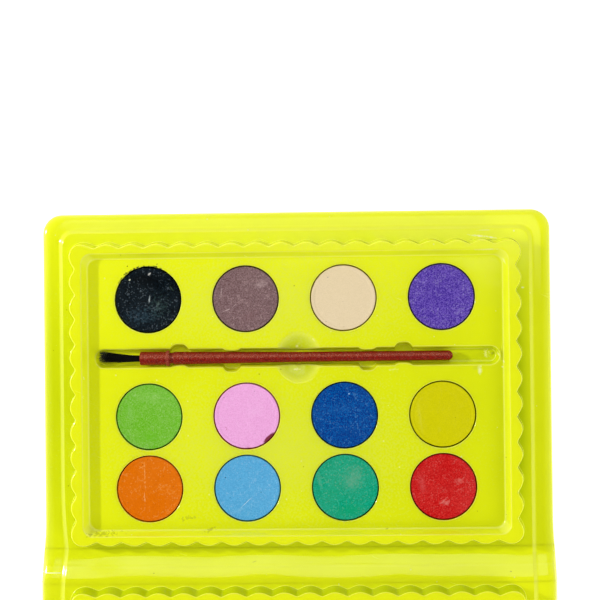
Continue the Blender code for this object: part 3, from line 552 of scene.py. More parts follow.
def floor_finish():
    """Matt white paper."""
    finish = Finish("floor_paper", 0.9)
    mottle = finish.group("mottle", {"Scale": 40.0, "Detail": 3.0})
    finish.link(finish.blend(mottle, (246, 246, 246), (252, 252, 252)), "Base Color")
    finish.set("Emission Color", (1.0, 1.0, 1.0, 1.0))
    finish.set("Emission Strength", 0.45)
    return finish.material


# Shader nodes


class Nodes:
    """A node tree under construction, with short ways to add nodes and take what they put out."""

    def __init__(self, tree):
        self.tree = tree

    def put(self, kind, inputs=None, **settings):
        """A node with its settings, and its inputs set to values or linked to sockets."""
        node = self.tree.nodes.new(kind)
        for name, value in settings.items():
            setattr(node, name, value)
        for name, value in (inputs or {}).items():
            self.feed(node.inputs[name], value)
        return node

    def feed(self, socket, value):
        """Links a socket to another, or sets it to a value."""
        if isinstance(value, bpy.types.NodeSocket):
            self.tree.links.new(value, socket)
        else:
            socket.default_value = value

    def math(self, operation, *values, clamp=False):
        """What a Math node makes of its values."""
        inputs = dict(enumerate(values))
        return self.put("ShaderNodeMath", inputs, operation=operation, use_clamp=clamp).outputs[0]

    def carried(self, value, low, high, to_low=0.0, to_high=1.0):
        """A value's share of a range, carried to another range."""
        inputs = {"Value": value, "From Min": low, "From Max": high, "To Min": to_low, "To Max": to_high}
        return self.put("ShaderNodeMapRange", inputs).outputs[0]


class Effect(Nodes):
    """A shader node group that materials share: number inputs, with their defaults, and one output."""

    def __init__(self, name, output, inputs):
        super().__init__(bpy.data.node_groups.new(name, "ShaderNodeTree"))
        for socket, default in inputs.items():
            made = self.tree.interface.new_socket(socket, in_out="INPUT", socket_type="NodeSocketFloat")
            made.default_value = default
        self.tree.interface.new_socket(output, in_out="OUTPUT", socket_type="NodeSocketFloat")
        self.given = self.put("NodeGroupInput").outputs
        self.result = self.put("NodeGroupOutput").inputs[output]
        self.place = self.put("ShaderNodeTexCoord").outputs["Object"]

    def noise(self, scale, detail, roughness=0.5, place=None):
        """Cloudy noise from 0 to 1, at the piece's own coordinates where no place is given."""
        inputs = {"Vector": place or self.place, "Scale": scale, "Detail": detail, "Roughness": roughness}
        return self.put("ShaderNodeTexNoise", inputs).outputs["Fac"]

    def among(self, scale, detail):
        """The places where noise is among its highest, by the group's share."""
        least = self.math("SUBTRACT", 1.0, self.given["Share"])
        return self.math("GREATER_THAN", self.noise(scale, detail), least)

    def put_out(self, value):
        self.tree.links.new(value, self.result)


def make_mottle():
    """Soft patches, as a tone from 0 to 1."""
    effect = Effect("mottle", "Tone", {"Scale": 60.0, "Detail": 4.0, "Contrast": 1.0})
    patches = effect.noise(effect.given["Scale"], effect.given["Detail"], 0.6)
    centred = effect.math("SUBTRACT", patches, 0.5)
    spread = effect.math("MULTIPLY", effect.given["Contrast"], 2.4)
    effect.put_out(effect.math("MULTIPLY_ADD", centred, spread, 0.5, clamp=True))


def make_specks():
    """Small separate dots, as a mask. Share is how many of the cells hold one."""
    effect = Effect("specks", "Mask", {"Scale": 300.0, "Size": 0.2, "Share": 0.1})
    cells = effect.put("ShaderNodeTexVoronoi", {"Vector": effect.place, "Scale": effect.given["Scale"]})
    dot = effect.math("LESS_THAN", cells.outputs["Distance"], effect.given["Size"])
    luck = effect.put("ShaderNodeSeparateColor", {0: cells.outputs["Color"]}).outputs[0]
    chosen = effect.math("LESS_THAN", luck, effect.given["Share"])
    effect.put_out(effect.math("MULTIPLY", dot, chosen))


def make_scratches():
    """Fine broken lines along one direction in the XY plane, as a mask."""
    effect = Effect("scratches", "Mask", {"Scale": 200.0, "Angle": 0.0, "Share": 0.1})
    turn = effect.put("ShaderNodeCombineXYZ", {"Z": effect.given["Angle"]}).outputs[0]
    lie = effect.put("ShaderNodeMapping", {"Vector": effect.place, "Rotation": turn}).outputs[0]
    stretched = effect.put("ShaderNodeMapping", {"Vector": lie, "Scale": (0.05, 1.0, 0.6)}).outputs[0]
    line = effect.carried(effect.noise(effect.given["Scale"], 2.0, place=stretched), 0.62, 0.7)
    effect.put_out(effect.math("MULTIPLY", line, effect.among(45.0, 1.0)))


def make_squiggles():
    """Short curved hairlines of no one direction, as a mask."""
    effect = Effect("squiggles", "Mask", {"Scale": 260.0, "Width": 0.01, "Share": 0.4})
    off = effect.math("SUBTRACT", effect.noise(effect.given["Scale"], 1.5), 0.5)
    curve = effect.math("LESS_THAN", effect.math("ABSOLUTE", off), effect.given["Width"])
    effect.put_out(effect.math("MULTIPLY", curve, effect.among(430.0, 2.0)))


def make_dab():
    """One ragged oval mark about a place in the XY plane, as a mask."""
    inputs = {"X": 0.0, "Y": 0.0, "Length": 0.001, "Width": 0.001, "Angle": 0.0, "Soft": 0.3, "Ragged": 0.5}
    effect = Effect("dab", "Mask", inputs)
    x, y, length, width, angle, soft, ragged = (effect.given[name] for name in inputs)
    centre = effect.put("ShaderNodeCombineXYZ", {"X": x, "Y": y}).outputs[0]
    away = effect.put("ShaderNodeVectorMath", {0: effect.place, 1: centre}, operation="SUBTRACT").outputs[0]
    around = {"Vector": away, "Angle": angle}
    lie = effect.put("ShaderNodeVectorRotate", around, rotation_type="Z_AXIS").outputs[0]
    size = effect.put("ShaderNodeCombineXYZ", {"X": length, "Y": width, "Z": 1.0}).outputs[0]
    scaled = effect.put("ShaderNodeVectorMath", {0: lie, 1: size}, operation="DIVIDE").outputs[0]
    reach = effect.put("ShaderNodeVectorMath", {0: scaled}, operation="LENGTH").outputs["Value"]
    edge = effect.math("SUBTRACT", effect.noise(900.0, 3.0), 0.5)
    rough_reach = effect.math("MULTIPLY_ADD", edge, ragged, reach)
    inner = effect.math("SUBTRACT", 1.0, soft)
    effect.put_out(effect.carried(rough_reach, inner, 1.0, 1.0, 0.0))


class Finish(Nodes):
    """A material under construction around its shader."""

    def __init__(self, name, roughness):
        self.material = bpy.data.materials.new(name)
        self.material.use_nodes = True
        super().__init__(self.material.node_tree)
        self.shader = self.tree.nodes["Principled BSDF"]
        self.set("Roughness", roughness)

    def set(self, socket, value):
        self.shader.inputs[socket].default_value = value

    def link(self, output, socket):
        self.tree.links.new(output, self.shader.inputs[socket])

    def group(self, name, inputs):
        """What a shared effect puts out for its inputs."""
        return self.put("ShaderNodeGroup", inputs, node_tree=bpy.data.node_groups[name]).outputs[0]

    def attribute(self, name):
        """A value that the piece keeps at each of its points."""
        return self.put("ShaderNodeAttribute", attribute_name=name).outputs["Fac"]

    def blend(self, share, first, second):
        """A colour between two, each an sRGB triple or a socket, by a share."""
        node = self.put("ShaderNodeMix", data_type="RGBA")
        for name, value in (("Factor", share), ("A", first), ("B", second)):
            socket = [s for s in node.inputs if s.name == name and s.enabled][0]
            self.feed(socket, linear(value) if isinstance(value, tuple) else value)
        return [s for s in node.outputs if s.enabled][0]

    def dabs(self, colour, centre, marks):
        """A colour with ragged oval dabs, of marks and of painted light and shade: place about the centre,
        sizes, turn, edge, share and tone.
        """
        for x, y, length, width, angle, soft, ragged, share, tone in marks:
            inputs = {"X": centre[0] + x * MM, "Y": centre[1] + y * MM}
            inputs.update({"Length": length * MM, "Width": width * MM, "Angle": math.radians(-angle)})
            inputs.update({"Soft": soft, "Ragged": ragged})
            colour = self.blend(self.amount(self.group("dab", inputs), share), colour, tone)
        return colour

    def amount(self, value, share):
        """A value scaled by a share."""
        return self.math("MULTIPLY", value, share)

    def total(self, first, second):
        """The sum of two values."""
        return self.math("ADD", first, second)

    def bump(self, height, depth, strength=1.0):
        """Relief from a 0 to 1 height, depth metres deep."""
        node = self.put("ShaderNodeBump", {"Height": height, "Distance": depth, "Strength": strength})
        self.link(node.outputs[0], "Normal")


def lime_finish(name, used):
    """Glossy lime plastic: dusty and lightly scratched, with a painted highlight along its bends, and where
    it is used painted shade, painted sheen and glints, and marks and stains of paint.
    """
    finish = Finish(name, 0.4)
    finish.set("Subsurface Weight", 0.4)
    finish.set("Subsurface Radius", (1.0, 1.0, 0.05))
    finish.set("Subsurface Scale", 3.0 * MM)
    patches = finish.group("mottle", {"Scale": 22.0, "Detail": 3.0})
    tone = finish.amount(patches, 0.12)
    # Painted shade, kept at each point, deepens the lime's tone
    if used:
        depth = finish.attribute(PAINTED_SHADE)
        tone = finish.total(depth, tone)
    colour = finish.blend(tone, (243, 251, 24), (190, 203, 0))
    # Painted shade: a deep olive down into the wells
    if used:
        colour = finish.blend(finish.math("SUBTRACT", depth, 1.0, clamp=True), colour, WELL_SHADE)
    # Painted highlight on the sheet's sloped bends
    colour = finish.blend(finish.amount(finish.attribute(EDGE_HIGHLIGHT), 0.45), colour, (254, 255, 140))
    dust = finish.group("specks", {"Scale": 420.0, "Size": 0.16, "Share": 0.03})
    colour = finish.blend(finish.amount(dust, 0.35), colour, (246, 250, 190))
    crumbs = finish.group("specks", {"Scale": 300.0, "Size": 0.1, "Share": 0.012})
    colour = finish.blend(finish.amount(crumbs, 0.5), colour, (120, 120, 10))
    scratches = finish.group("scratches", {"Scale": 900.0, "Angle": 0.4, "Share": 0.3})
    colour = finish.blend(finish.amount(scratches, 0.08), colour, (244, 250, 120))
    # Marks, painted sheen, glints and a line of painted shade on the lime, and round each well a stain
    # darkened with painted shade
    if used:
        colour = finish.dabs(colour, (0.0, 0.0), LIME_MARKS_AND_PAINTED_LIGHT)
        for paint, stain_and_gap_shade in WELL_STAINS_AND_GAP_SHADE.items():
            low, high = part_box(f"tablet_{paint}")
            reach = (high.x - low.x) / 2 / MM + 0.6
            ring = (0, 0, reach, reach, 0, 0.012, 0.02, 0.9, stain_and_gap_shade)
            colour = finish.dabs(colour, (low + high) / 2, [ring])
    finish.link(colour, "Base Color")
    fine = finish.group("mottle", {"Scale": 130.0, "Detail": 2.0})
    rough = finish.carried(fine, 0.0, 1.0, 0.09, 0.15)
    finish.link(finish.total(rough, finish.amount(scratches, 0.2)), "Roughness")
    finish.bump(finish.total(patches, finish.amount(fine, 0.25)), 0.12 * MM, 0.6)
    return finish.material


# Pieces


def add_piece(bm, name, finishes, smooth=True):
    """An object for a finished bmesh, at the origin, with its materials."""
    mesh = bpy.data.meshes.new(name)
    for face in bm.faces:
        face.smooth = smooth
    bm.to_mesh(mesh)
    bm.free()
    for finish in finishes:
        mesh.materials.append(finish)
    obj = bpy.data.objects.new(name, mesh)
    bpy.context.scene.collection.objects.link(obj)
    return obj


def ring_edges(bm, ring, closed=True):
    """The edges between a ring's vertices in order, made where they are missing."""
    ends = ring[1:] + ring[:1] if closed else ring[1:]
    return [bm.edges.get(pair) or bm.edges.new(pair) for pair in zip(ring, ends)]


def add_ring(bm, points, closed=True):
    """A ring of vertices and edges through points."""
    ring = [bm.verts.new(point) for point in points]
    ring_edges(bm, ring, closed)
    return ring


def draw_ring(bm, ring, points, closed=True):
    """Extrudes a ring and carries its new vertices, in order, to the points."""
    grown = bmesh.ops.extrude_edge_only(bm, edges=ring_edges(bm, ring, closed))["geom"]
    fresh = {tuple(v.co): v for v in grown if isinstance(v, bmesh.types.BMVert)}
    drawn = [fresh[tuple(v.co)] for v in ring]
    for vert, point in zip(drawn, points):
        vert.co = point
    return drawn


def at_height(points, height):
    """Flat points carried to a height."""
    return [(x, y, height) for x, y in points]


def fill(bm, *rings):
    """Fills the flat region inside the first ring and outside the others."""
    edges = [edge for ring in rings for edge in ring_edges(bm, ring)]
    bmesh.ops.triangle_fill(bm, edges=edges, use_beauty=True, normal=(0, 0, 1))


def loft(bm, outline, profile, ring=None, closed=True):
    """Rings of an outline along a profile of offsets and heights. Returns the first and the last ring."""
    steps = list(profile)
    if ring is None:
        offset, height = steps.pop(0)
        ring = add_ring(bm, at_height(outline(offset), height))
    first = ring
    for offset, height in steps:
        ring = draw_ring(bm, ring, at_height(outline(offset), height), closed)
    return first, ring


def rounded(corners, reaches, steps=5):
    """A profile whose inner corners turn into curves that start and end at a reach from the corner."""
    corners = [Vector(corner) for corner in corners]
    points = [corners[0]]
    for before, corner, after, reach in zip(corners, corners[1:], corners[2:], reaches):
        back, on = before - corner, after - corner
        start = corner + back.normalized() * min(reach, back.length * 0.49)
        end = corner + on.normalized() * min(reach, on.length * 0.49)
        for i in range(steps + 1):
            share = i / steps
            points.append(start * (1 - share) ** 2 + corner * 2 * share * (1 - share) + end * share**2)
    return points + [corners[-1]]


def clamped(value, low=0.0, high=1.0):
    """A value held inside a range."""
    return min(high, max(low, value))


def face_up(bm):
    """Turns a sheet's faces the same way, upwards."""
    bmesh.ops.recalc_face_normals(bm, faces=bm.faces)
    if sum(face.normal.z for face in bm.faces) < 0:
        bmesh.ops.reverse_faces(bm, faces=bm.faces)


# Outlines, each counter-clockwise


def arc(centre, radius_x, radius_y, start, end, steps):
    """Points along an ellipse's arc, both ends among them."""
    points = []
    for i in range(steps + 1):
        angle = start + (end - start) * i / steps
        points.append((centre[0] + radius_x * math.cos(angle), centre[1] + radius_y * math.sin(angle)))
    return points


def line(start, end, steps):
    """Points along a straight run, both ends left out."""
    shares = [i / steps for i in range(1, steps)]
    return [(start[0] + (end[0] - start[0]) * s, start[1] + (end[1] - start[1]) * s) for s in shares]


def quarters(half_x, half_y, radius, steps=CORNER_STEPS):
    """The four round corners of a rectangle about the origin, from the right far one on."""
    corners = []
    for quarter, (side_x, side_y) in enumerate(((1, 1), (-1, 1), (-1, -1), (1, -1))):
        centre = (side_x * (half_x - radius), side_y * (half_y - radius))
        start = quarter * math.pi / 2
        corners.append(arc(centre, radius, radius, start, start + math.pi / 2, steps))
    return corners


def rounded_rectangle(half_x, half_y, radius, steps=CORNER_STEPS, side_steps=STRAIGHT_STEPS):
    """A rectangle about the origin with round corners and divided sides, the right side last."""
    points = []
    for corner in quarters(half_x, half_y, radius, steps):
        if points:
            points += line(points[-1], corner[0], side_steps)
        points += corner
    return points + line(points[-1], points[0], side_steps)


def wave(turns):
    """A scallop's height from 0 in a valley to 1 on a crest, at a number of scallops along the side."""
    softened = math.sqrt(math.sin(math.pi * turns) ** 2 + SCALLOP_SOFTNESS**2)
    return (softened - SCALLOP_SOFTNESS) / (math.sqrt(1 + SCALLOP_SOFTNESS**2) - SCALLOP_SOFTNESS)


def scallop_side(length, depth):
    """One side's scallops and half a lobe at each end: pairs of a place along the side and a depth."""
    run = length - 2 * CORNER_LOBE
    flank = CORNER_LOBE - LOBE_CORNER
    count = max(1, round(run / SCALLOP_PITCH))
    pairs = []
    for i in range(LOBE_FLANK_STEPS):
        share = i / LOBE_FLANK_STEPS
        pairs.append((-run / 2 - flank * (1 - share), depth * (1 - wave((1 - share) / 2))))
    for i in range(count * SCALLOP_STEPS + 1):
        turns = i / SCALLOP_STEPS
        pairs.append((-run / 2 + run * turns / count, depth * (1 - wave(turns))))
    for i in range(LOBE_FLANK_STEPS):
        share = (i + 1) / LOBE_FLANK_STEPS
        pairs.append((run / 2 + flank * share, depth * (1 - wave(share / 2))))
    return pairs


class Half:
    """One half of the case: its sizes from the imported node's box, drawn about the middle of its recess."""

    def __init__(self, node, turn):
        low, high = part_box(node)
        near = min(abs(low.y), abs(high.y)) - CREASE_GAP / 2
        far = max(abs(low.y), abs(high.y))
        near_foot = near + FOLD_SETBACK
        far_foot = far - RIM_WIDTH - LEDGE_FAR_SIDE
        self.node = node
        self.turn = turn
        self.centre_y = (near_foot + far_foot) / 2
        self.fold_y = near - self.centre_y
        self.ledge_z = high.z - FRAME_HEIGHT
        self.top_z = high.z
        self.floor_z = high.z - RECESS_DEPTH
        self.ledge_x = high.x - RIM_WIDTH
        self.ledge_y = far - RIM_WIDTH - self.centre_y
        self.frame_x = self.ledge_x - LEDGE_SHORT_SIDE - FRAME_DRAFT
        self.frame_y = (far_foot - near_foot) / 2 - FRAME_DRAFT
        self.lip_x = self.frame_x - BORDER_SHORT_SIDE
        self.lip_y = self.frame_y - BORDER_LONG_SIDE
        self.dip = None  # The finger dip's middle, once there is a groove

    def local(self, x, y):
        """A place in the world as seen from the middle of the recess."""
        return self.turn * x, self.turn * y - self.centre_y

    def world(self):
        """The turn and move that carry the drawing to its place."""
        angle = 0.0 if self.turn > 0 else math.pi
        return Matrix.Rotation(angle, 4, "Z") @ Matrix.Translation((0.0, self.centre_y, 0.0))

    def scalloped(self, offset):
        """The frame's outline: scallops along each side and a round lobe on each corner."""
        half_x = self.frame_x + offset
        half_y = self.frame_y + offset
        long_side = scallop_side(2 * self.frame_x, SCALLOP_DEPTH_LONG_SIDE)
        short_side = scallop_side(2 * self.frame_y, SCALLOP_DEPTH_SHORT_SIDE)
        corners = [corner[1:-1] for corner in quarters(half_x, half_y, LOBE_CORNER + offset)]
        right = [(half_x - depth, place) for place, depth in short_side]
        far = [(-place, half_y - depth) for place, depth in long_side]
        left = [(depth - half_x, -place) for place, depth in short_side]
        near = [(place, depth - half_y) for place, depth in long_side]
        return right + corners[0] + far + corners[1] + left + corners[2] + near + corners[3]

    def recess(self, offset):
        """The recess's outline, which grows by an offset."""
        return rounded_rectangle(self.lip_x + offset, self.lip_y + offset, RECESS_CORNER)

    def ledge(self, offset):
        """The ledge's edge from the fold, up one side, round the far corners and back to the fold."""
        radius = LEDGE_CORNER + (RIM_CORNER - LEDGE_CORNER) * offset / RIM_WIDTH
        half_x = self.ledge_x + offset
        far_y = self.ledge_y + offset
        first = arc((half_x - radius, far_y - radius), radius, radius, 0, math.pi / 2, CORNER_STEPS)
        second = arc((radius - half_x, far_y - radius), radius, radius, math.pi / 2, math.pi, CORNER_STEPS)
        start = (half_x, self.fold_y)
        end = (-half_x, self.fold_y)
        points = [start] + line(start, first[0], STRAIGHT_STEPS) + first
        points += line(first[-1], second[0], STRAIGHT_STEPS) + second
        points += line(second[-1], end, STRAIGHT_STEPS) + [end]
        placed = []
        for x, y in points:
            world_y = self.turn * (y + self.centre_y)
            placed.append((self.turn * settled(self.turn * x, world_y, offset), y))
        return placed


def settled(x, y, offset):
    """A place across the step or rim, moved as the real sheet's is: wider rims, a crooked left step."""
    right = 0.5 + 0.5 * clamped(x / (CASE_HALF_X - RIM_WIDTH), -1.0)
    out = clamped(offset / RIM_WIDTH)
    near_fold = max(0.0, 1 - abs(y - FOLD_Y) / STEP_SHIFT_RUN) ** 2
    inwards = (STEP_SHIFT + STEP_SHIFT_AT_FOLD * near_fold) * (1 - out)
    past_fold = clamped((TOOL_FLARE_RUN - y) / (TOOL_FLARE_RUN + FOLD_Y))
    tool_flare = TOOL_FLARE_RIGHT * right - TOOL_FLARE_LEFT * (1 - right)
    return x + (RIM_FLARE * right + tool_flare * past_fold) * out + inwards * (1 - right)


def rim_profile(ledge_z):
    """The step, rim and rolled edge, from the ledge to the table: offsets and heights."""
    rim_z = ledge_z - STEP_DROP
    corners = (
        (STEP_START - FLAT_BAND, ledge_z),
        (STEP_START, ledge_z),
        (STEP_END, rim_z),
        (RIM_WIDTH - ROLL_WIDTH, rim_z),
        (RIM_WIDTH - ROLL_SHOULDER, rim_z - ROLL_SHOULDER_DROP),
        (RIM_WIDTH, RIM_FOOT),
    )
    return rounded(corners, RIM_ROUNDINGS, 6)


def formed_sheet(half, pockets):
    """The upper face of one half, with its pockets, as a smooth sheet that is then given its thickness."""
    bm = bmesh.new()
    rim = rim_profile(half.ledge_z)
    ledge, _ = loft(bm, half.ledge, rim[:1])
    chain = ledge
    for offset, height in rim[1:]:
        chain = draw_ring(bm, chain, at_height(half.ledge(offset), height), closed=False)
    wall = (
        (FRAME_DRAFT + 2 * FLAT_BAND, half.ledge_z),
        (FRAME_DRAFT, half.ledge_z),
        (0.0, half.top_z),
        (-3 * FLAT_BAND, half.top_z),
    )
    foot, crest = loft(bm, half.scalloped, rounded(wall, FRAME_ROUNDINGS))
    fill(bm, ledge, foot)
    slope = (
        (2 * FLAT_BAND, half.top_z),
        (0.0, half.top_z),
        (-RECESS_SLOPE, half.floor_z),
        (-RECESS_SLOPE - 3 * FLAT_BAND, half.floor_z),
    )
    lip, floor = loft(bm, half.recess, rounded(slope, RECESS_ROUNDINGS))
    fill(bm, crest, lip)
    mouths = []
    for outline, profile in pockets:
        mouth, bottom = loft(bm, outline, profile)
        fill(bm, bottom)
        mouths.append(mouth)
    fill(bm, floor, *mouths)
    face_up(bm)
    for vert in bm.verts:
        if abs(vert.co.y - half.fold_y) > WAVER_SETBACK:
            vert.co.z += WAVER * noise.noise(vert.co / WAVER_LENGTH) * min(1.0, vert.co.z / MM)
    # Painted highlights along the bends, and painted shade at each point, inside the frame and out
    note_edge_highlights(bm)
    layer = bm.verts.layers.float.new(PAINTED_SHADE)
    for vert in bm.verts:
        x, y, _ = vert.co
        inside = abs(x) < half.lip_x and abs(y) < half.lip_y
        vert[layer] = (recess_painted_shade if inside else outside_painted_shade)(half, *vert.co)
    bmesh.ops.transform(bm, matrix=half.world(), verts=bm.verts)
    sheet = add_sheet(bm, f"{half.node}_sheet")
    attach(sheet, half.node)
    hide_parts(half.node)


def recess_painted_shade(half, x, y, z):
    """The painted shade inside the frame: deepening down the recess walls, more on the floor to the right
    and less to the far side, dark in the wells, and set apart in the groove and the dip.
    """
    right = half.turn * x / half.lip_x
    floor_tone = FLOOR_TONE + FLOOR_TONE_RIGHT * right + FLOOR_TONE_FAR * max(0.0, y / half.lip_y)
    tone = clamped((half.top_z - z) / RECESS_DEPTH) ** (2 - right) * floor_tone
    if not half.dip:
        return tone
    below = (half.floor_z - z) / GROOVE_DEPTH
    if below > WELL_LEVEL:
        return WELL_DEPTH_TONE
    if below > GROOVE_LEVEL:
        from_dip = Vector((x, y)) - half.dip
        full_tone = tone
        if from_dip.length < DIP_HALF_WIDTH + MM and below < DIP_LEVEL:
            full_tone = DIP_TONE
        elif abs(from_dip.y) < GROOVE_REACH:
            full_tone = GROOVE_TONE + GROOVE_TONE_RIGHT * right
        tone += (full_tone - tone) * min(1.0, below * GROOVE_TONE_RISE)
    return tone


def outside_painted_shade(half, x, y, z):
    """The painted shade on the frame, the ledge and the rim: more on the right and on the near back wall,
    eased towards the folds and the far side, and none on the frame's top.
    """
    on_back_wall = half.turn < 0 and y < half.fold_y + BACK_WALL_REACH
    if on_back_wall and half.ledge_z + BACK_WALL_FOOT < z < half.top_z - BACK_WALL_CREST:
        return BACK_WALL_TONE
    tone = OUTSIDE_TONE_RIGHT if half.turn * x > 0 else OUTSIDE_TONE
    tone *= 1 - FAR_LEDGE_FADE * clamped(y / half.frame_y) ** 2
    right = clamped((half.turn * x - half.frame_x) / (half.ledge_x - half.frame_x))
    tone += (RIGHT_RIM_TONE - tone) * right
    if y < 0:
        fold_tone = FOLD_TONE if half.turn < 0 else PAINT_FOLD_TONE
        tone += (fold_tone - tone) * clamped(1 - (y - half.fold_y) / FOLD_TONE_RUN)
    tone += (FAR_SIDE_TONE - tone) * clamped((y - half.frame_y) / (half.ledge_y - half.frame_y))
    return tone * clamped((half.top_z - z) / TONE_RUN)


def note_edge_highlights(bm):
    """Keeps a painted highlight on the sheet's slopes, by how far each point faces up, and marks its cut
    edges as sharp.
    """
    bm.normal_update()
    layer = bm.verts.layers.float.new(EDGE_HIGHLIGHT)
    for vert in bm.verts:
        vert[layer] = max(0.0, 1 - abs(vert.normal.z - EDGE_HIGHLIGHT_LEVEL) / EDGE_HIGHLIGHT_RANGE)
    for edge in bm.edges:
        edge.smooth = not edge.is_boundary


def add_sheet(bm, name):
    """A sheet with its finishes, thickened downwards from the face that was drawn."""
    sheet = add_piece(bm, name, [bpy.data.materials[finish] for finish in SHEET_FINISHES])
    wall = sheet.modifiers.new("thickness", "SOLIDIFY")
    wall.thickness = SHEET
    wall.offset = -1.0
    wall.material_offset = 1
    return sheet


def pocket_profile(mouth_z, bottom_z, draft, rounding):
    """A pocket's wall from just outside its mouth to just inside its bottom: offsets and heights."""
    corners = (
        (rounding + FLAT_BAND, mouth_z),
        (0.0, mouth_z),
        (-draft, bottom_z),
        (-draft - 2 * FLAT_BAND - rounding, bottom_z),
    )
    return rounded(corners, (rounding, rounding * 0.8))


def well_pocket(half, tablet):
    """A round well for a tablet."""
    low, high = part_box(tablet)
    centre = half.local(*((low + high) / 2).xy)
    radius = (high.x - low.x) / 2 + WELL_ROOM

    def outline(offset):
        reach = radius + offset
        return arc(centre, reach, reach, 0, math.tau * (1 - 1 / WELL_SIDES), WELL_SIDES - 1)

    return outline, pocket_profile(half.floor_z, POCKET_BOTTOM, WELL_DRAFT, MOUTH_ROUNDING)


def groove_pocket(half):
    """The brush groove with its snap lobes and the finger dip scooped across it."""
    handle_low, handle_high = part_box("brush_handle")
    start, brush_y = half.local(handle_low.x, (handle_low.y + handle_high.y) / 2 + BRUSH_SHIFT.y)
    length = handle_high.x - handle_low.x
    left = start - TUFT_LENGTH - GROOVE_TIP_ROOM + GROOVE_HALF_WIDTH
    right = start + length + GROOVE_TAIL - GROOVE_HALF_WIDTH
    dip_place = start + length * DIP_PLACE_SHARE
    half.dip = Vector((dip_place, brush_y))
    bowl_radius = (DIP_HALF_WIDTH**2 + DIP_DEPTH**2) / (2 * DIP_DEPTH)

    profile = pocket_profile(half.floor_z, half.floor_z - GROOVE_DEPTH, GROOVE_DRAFT, GROOVE_ROUNDING)
    dense = []
    for before, after in zip(profile, profile[1:]):
        parts = GROOVE_WALL_STEPS if abs(before[1] - after[1]) > MM else 1
        dense += [tuple(before + (after - before) * i / parts) for i in range(parts)]
    dense.append(tuple(profile[-1]))
    heights = dict(dense)

    def snap(share, reach, half_width):
        """One snap lobe's places along the groove and across it."""
        points = []
        for i in range(SNAP_STEPS + 1):
            along = i / SNAP_STEPS
            across = half_width + reach * (1 - (1 - math.sin(math.pi * along)) ** 2)
            points.append((start + length * share + SNAP_LENGTH * (along - 1 / 2), across))
        return points

    def edge(side, half_width, dip_x, dip_y):
        """One long edge of the groove, from its left end to its right end."""
        stretches = []
        for share, sign in zip(SNAP_PLACE_SHARES, SNAP_SIGNS):
            reach = SNAP_OUT if sign * side > 0 else -SNAP_IN
            stretches.append([(x, side * across) for x, across in snap(share, reach, half_width)])
        opening = math.asin(half_width / dip_y)
        dip = arc((dip_place, 0), dip_x, side * dip_y, math.pi - opening, opening, DIP_STEPS)
        stretches.insert(len(stretches) // 2, dip)
        run = list(stretches[0])
        for stretch, steps in zip(stretches[1:], GROOVE_RUN_STEPS):
            run += line(run[-1], stretch[0], steps) + stretch
        return run

    def outline(offset):
        half_width = GROOVE_HALF_WIDTH + offset
        depth = clamped(half.floor_z - heights[offset], 0.0, DIP_DEPTH * DIP_FLOOR_SHARE)
        below = bowl_radius - DIP_DEPTH + depth
        dip_y = math.sqrt(bowl_radius**2 - below**2) + max(offset, 0.0)
        dip_x = max(dip_y * DIP_HALF_LENGTH / DIP_HALF_WIDTH, DIP_LEAST_LENGTH)
        sizes = (half_width, dip_x, max(dip_y, half_width + DIP_LEAST_ROOM))
        quarter = math.pi / 2
        points = arc((right, 0), half_width, half_width, -quarter, quarter, GROOVE_END_STEPS)
        points += edge(1, *sizes)[::-1]
        points += arc((left, 0), half_width, half_width, quarter, 3 * quarter, GROOVE_END_STEPS)
        points += edge(-1, *sizes)
        return [(x, y + brush_y) for x, y in points]

    return outline, dense


def compartment_pocket(half, nodes, bay_side, bay_places):
    """A rectangular compartment for a group of nodes, with half-round finger bays in one long side."""
    boxes = [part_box(node) for node in nodes]
    ends = [half.local(*corner.xy) for pair in boxes for corner in pair]
    low_x = min(x for x, _ in ends) - COMPARTMENT_ROOM_SIDE
    high_x = max(x for x, _ in ends) + COMPARTMENT_ROOM_SIDE
    low_y = min(y for _, y in ends) - COMPARTMENT_ROOM_END
    high_y = max(y for _, y in ends) + COMPARTMENT_ROOM_END
    middle = ((low_x + high_x) / 2, (low_y + high_y) / 2)

    def outline(offset):
        half_x = (high_x - low_x) / 2 + COMPARTMENT_DRAFT + offset
        half_y = (high_y - low_y) / 2 + COMPARTMENT_DRAFT + offset
        radius = COMPARTMENT_CORNER + max(offset, -COMPARTMENT_CORNER / 2)
        bay = BAY_RADIUS + COMPARTMENT_DRAFT + offset
        points = []
        for place in bay_places:
            points += arc((half_x, place), bay, bay, -math.pi / 2, math.pi / 2, BAY_STEPS)
        steps = (COMPARTMENT_CORNER_STEPS, COMPARTMENT_SIDE_STEPS)
        points += rounded_rectangle(half_x, half_y, radius, *steps)[: 1 - COMPARTMENT_SIDE_STEPS]
        if bay_side < 0:
            points = [(-x, y) for x, y in points][::-1]
        return [(x + middle[0], y + middle[1]) for x, y in points]

    return outline, pocket_profile(half.floor_z, POCKET_BOTTOM, COMPARTMENT_DRAFT, MOUTH_ROUNDING)


def turned(profile, steps):
    """A bmesh of a profile of radii and heights that is spun about Z."""
    bm = bmesh.new()
    verts = [bm.verts.new((radius, 0.0, height)) for radius, height in profile]
    edges = [bm.edges.new(pair) for pair in zip(verts, verts[1:])]
    bmesh.ops.spin(
        bm,
        geom=verts + edges,
        cent=(0.0, 0.0, 0.0),
        axis=(0.0, 0.0, 1.0),
        angle=math.tau,
        steps=steps,
        use_merge=True,
    )
    bmesh.ops.remove_doubles(bm, verts=bm.verts, dist=MERGE)
    bmesh.ops.recalc_face_normals(bm, faces=bm.faces)
    return bm


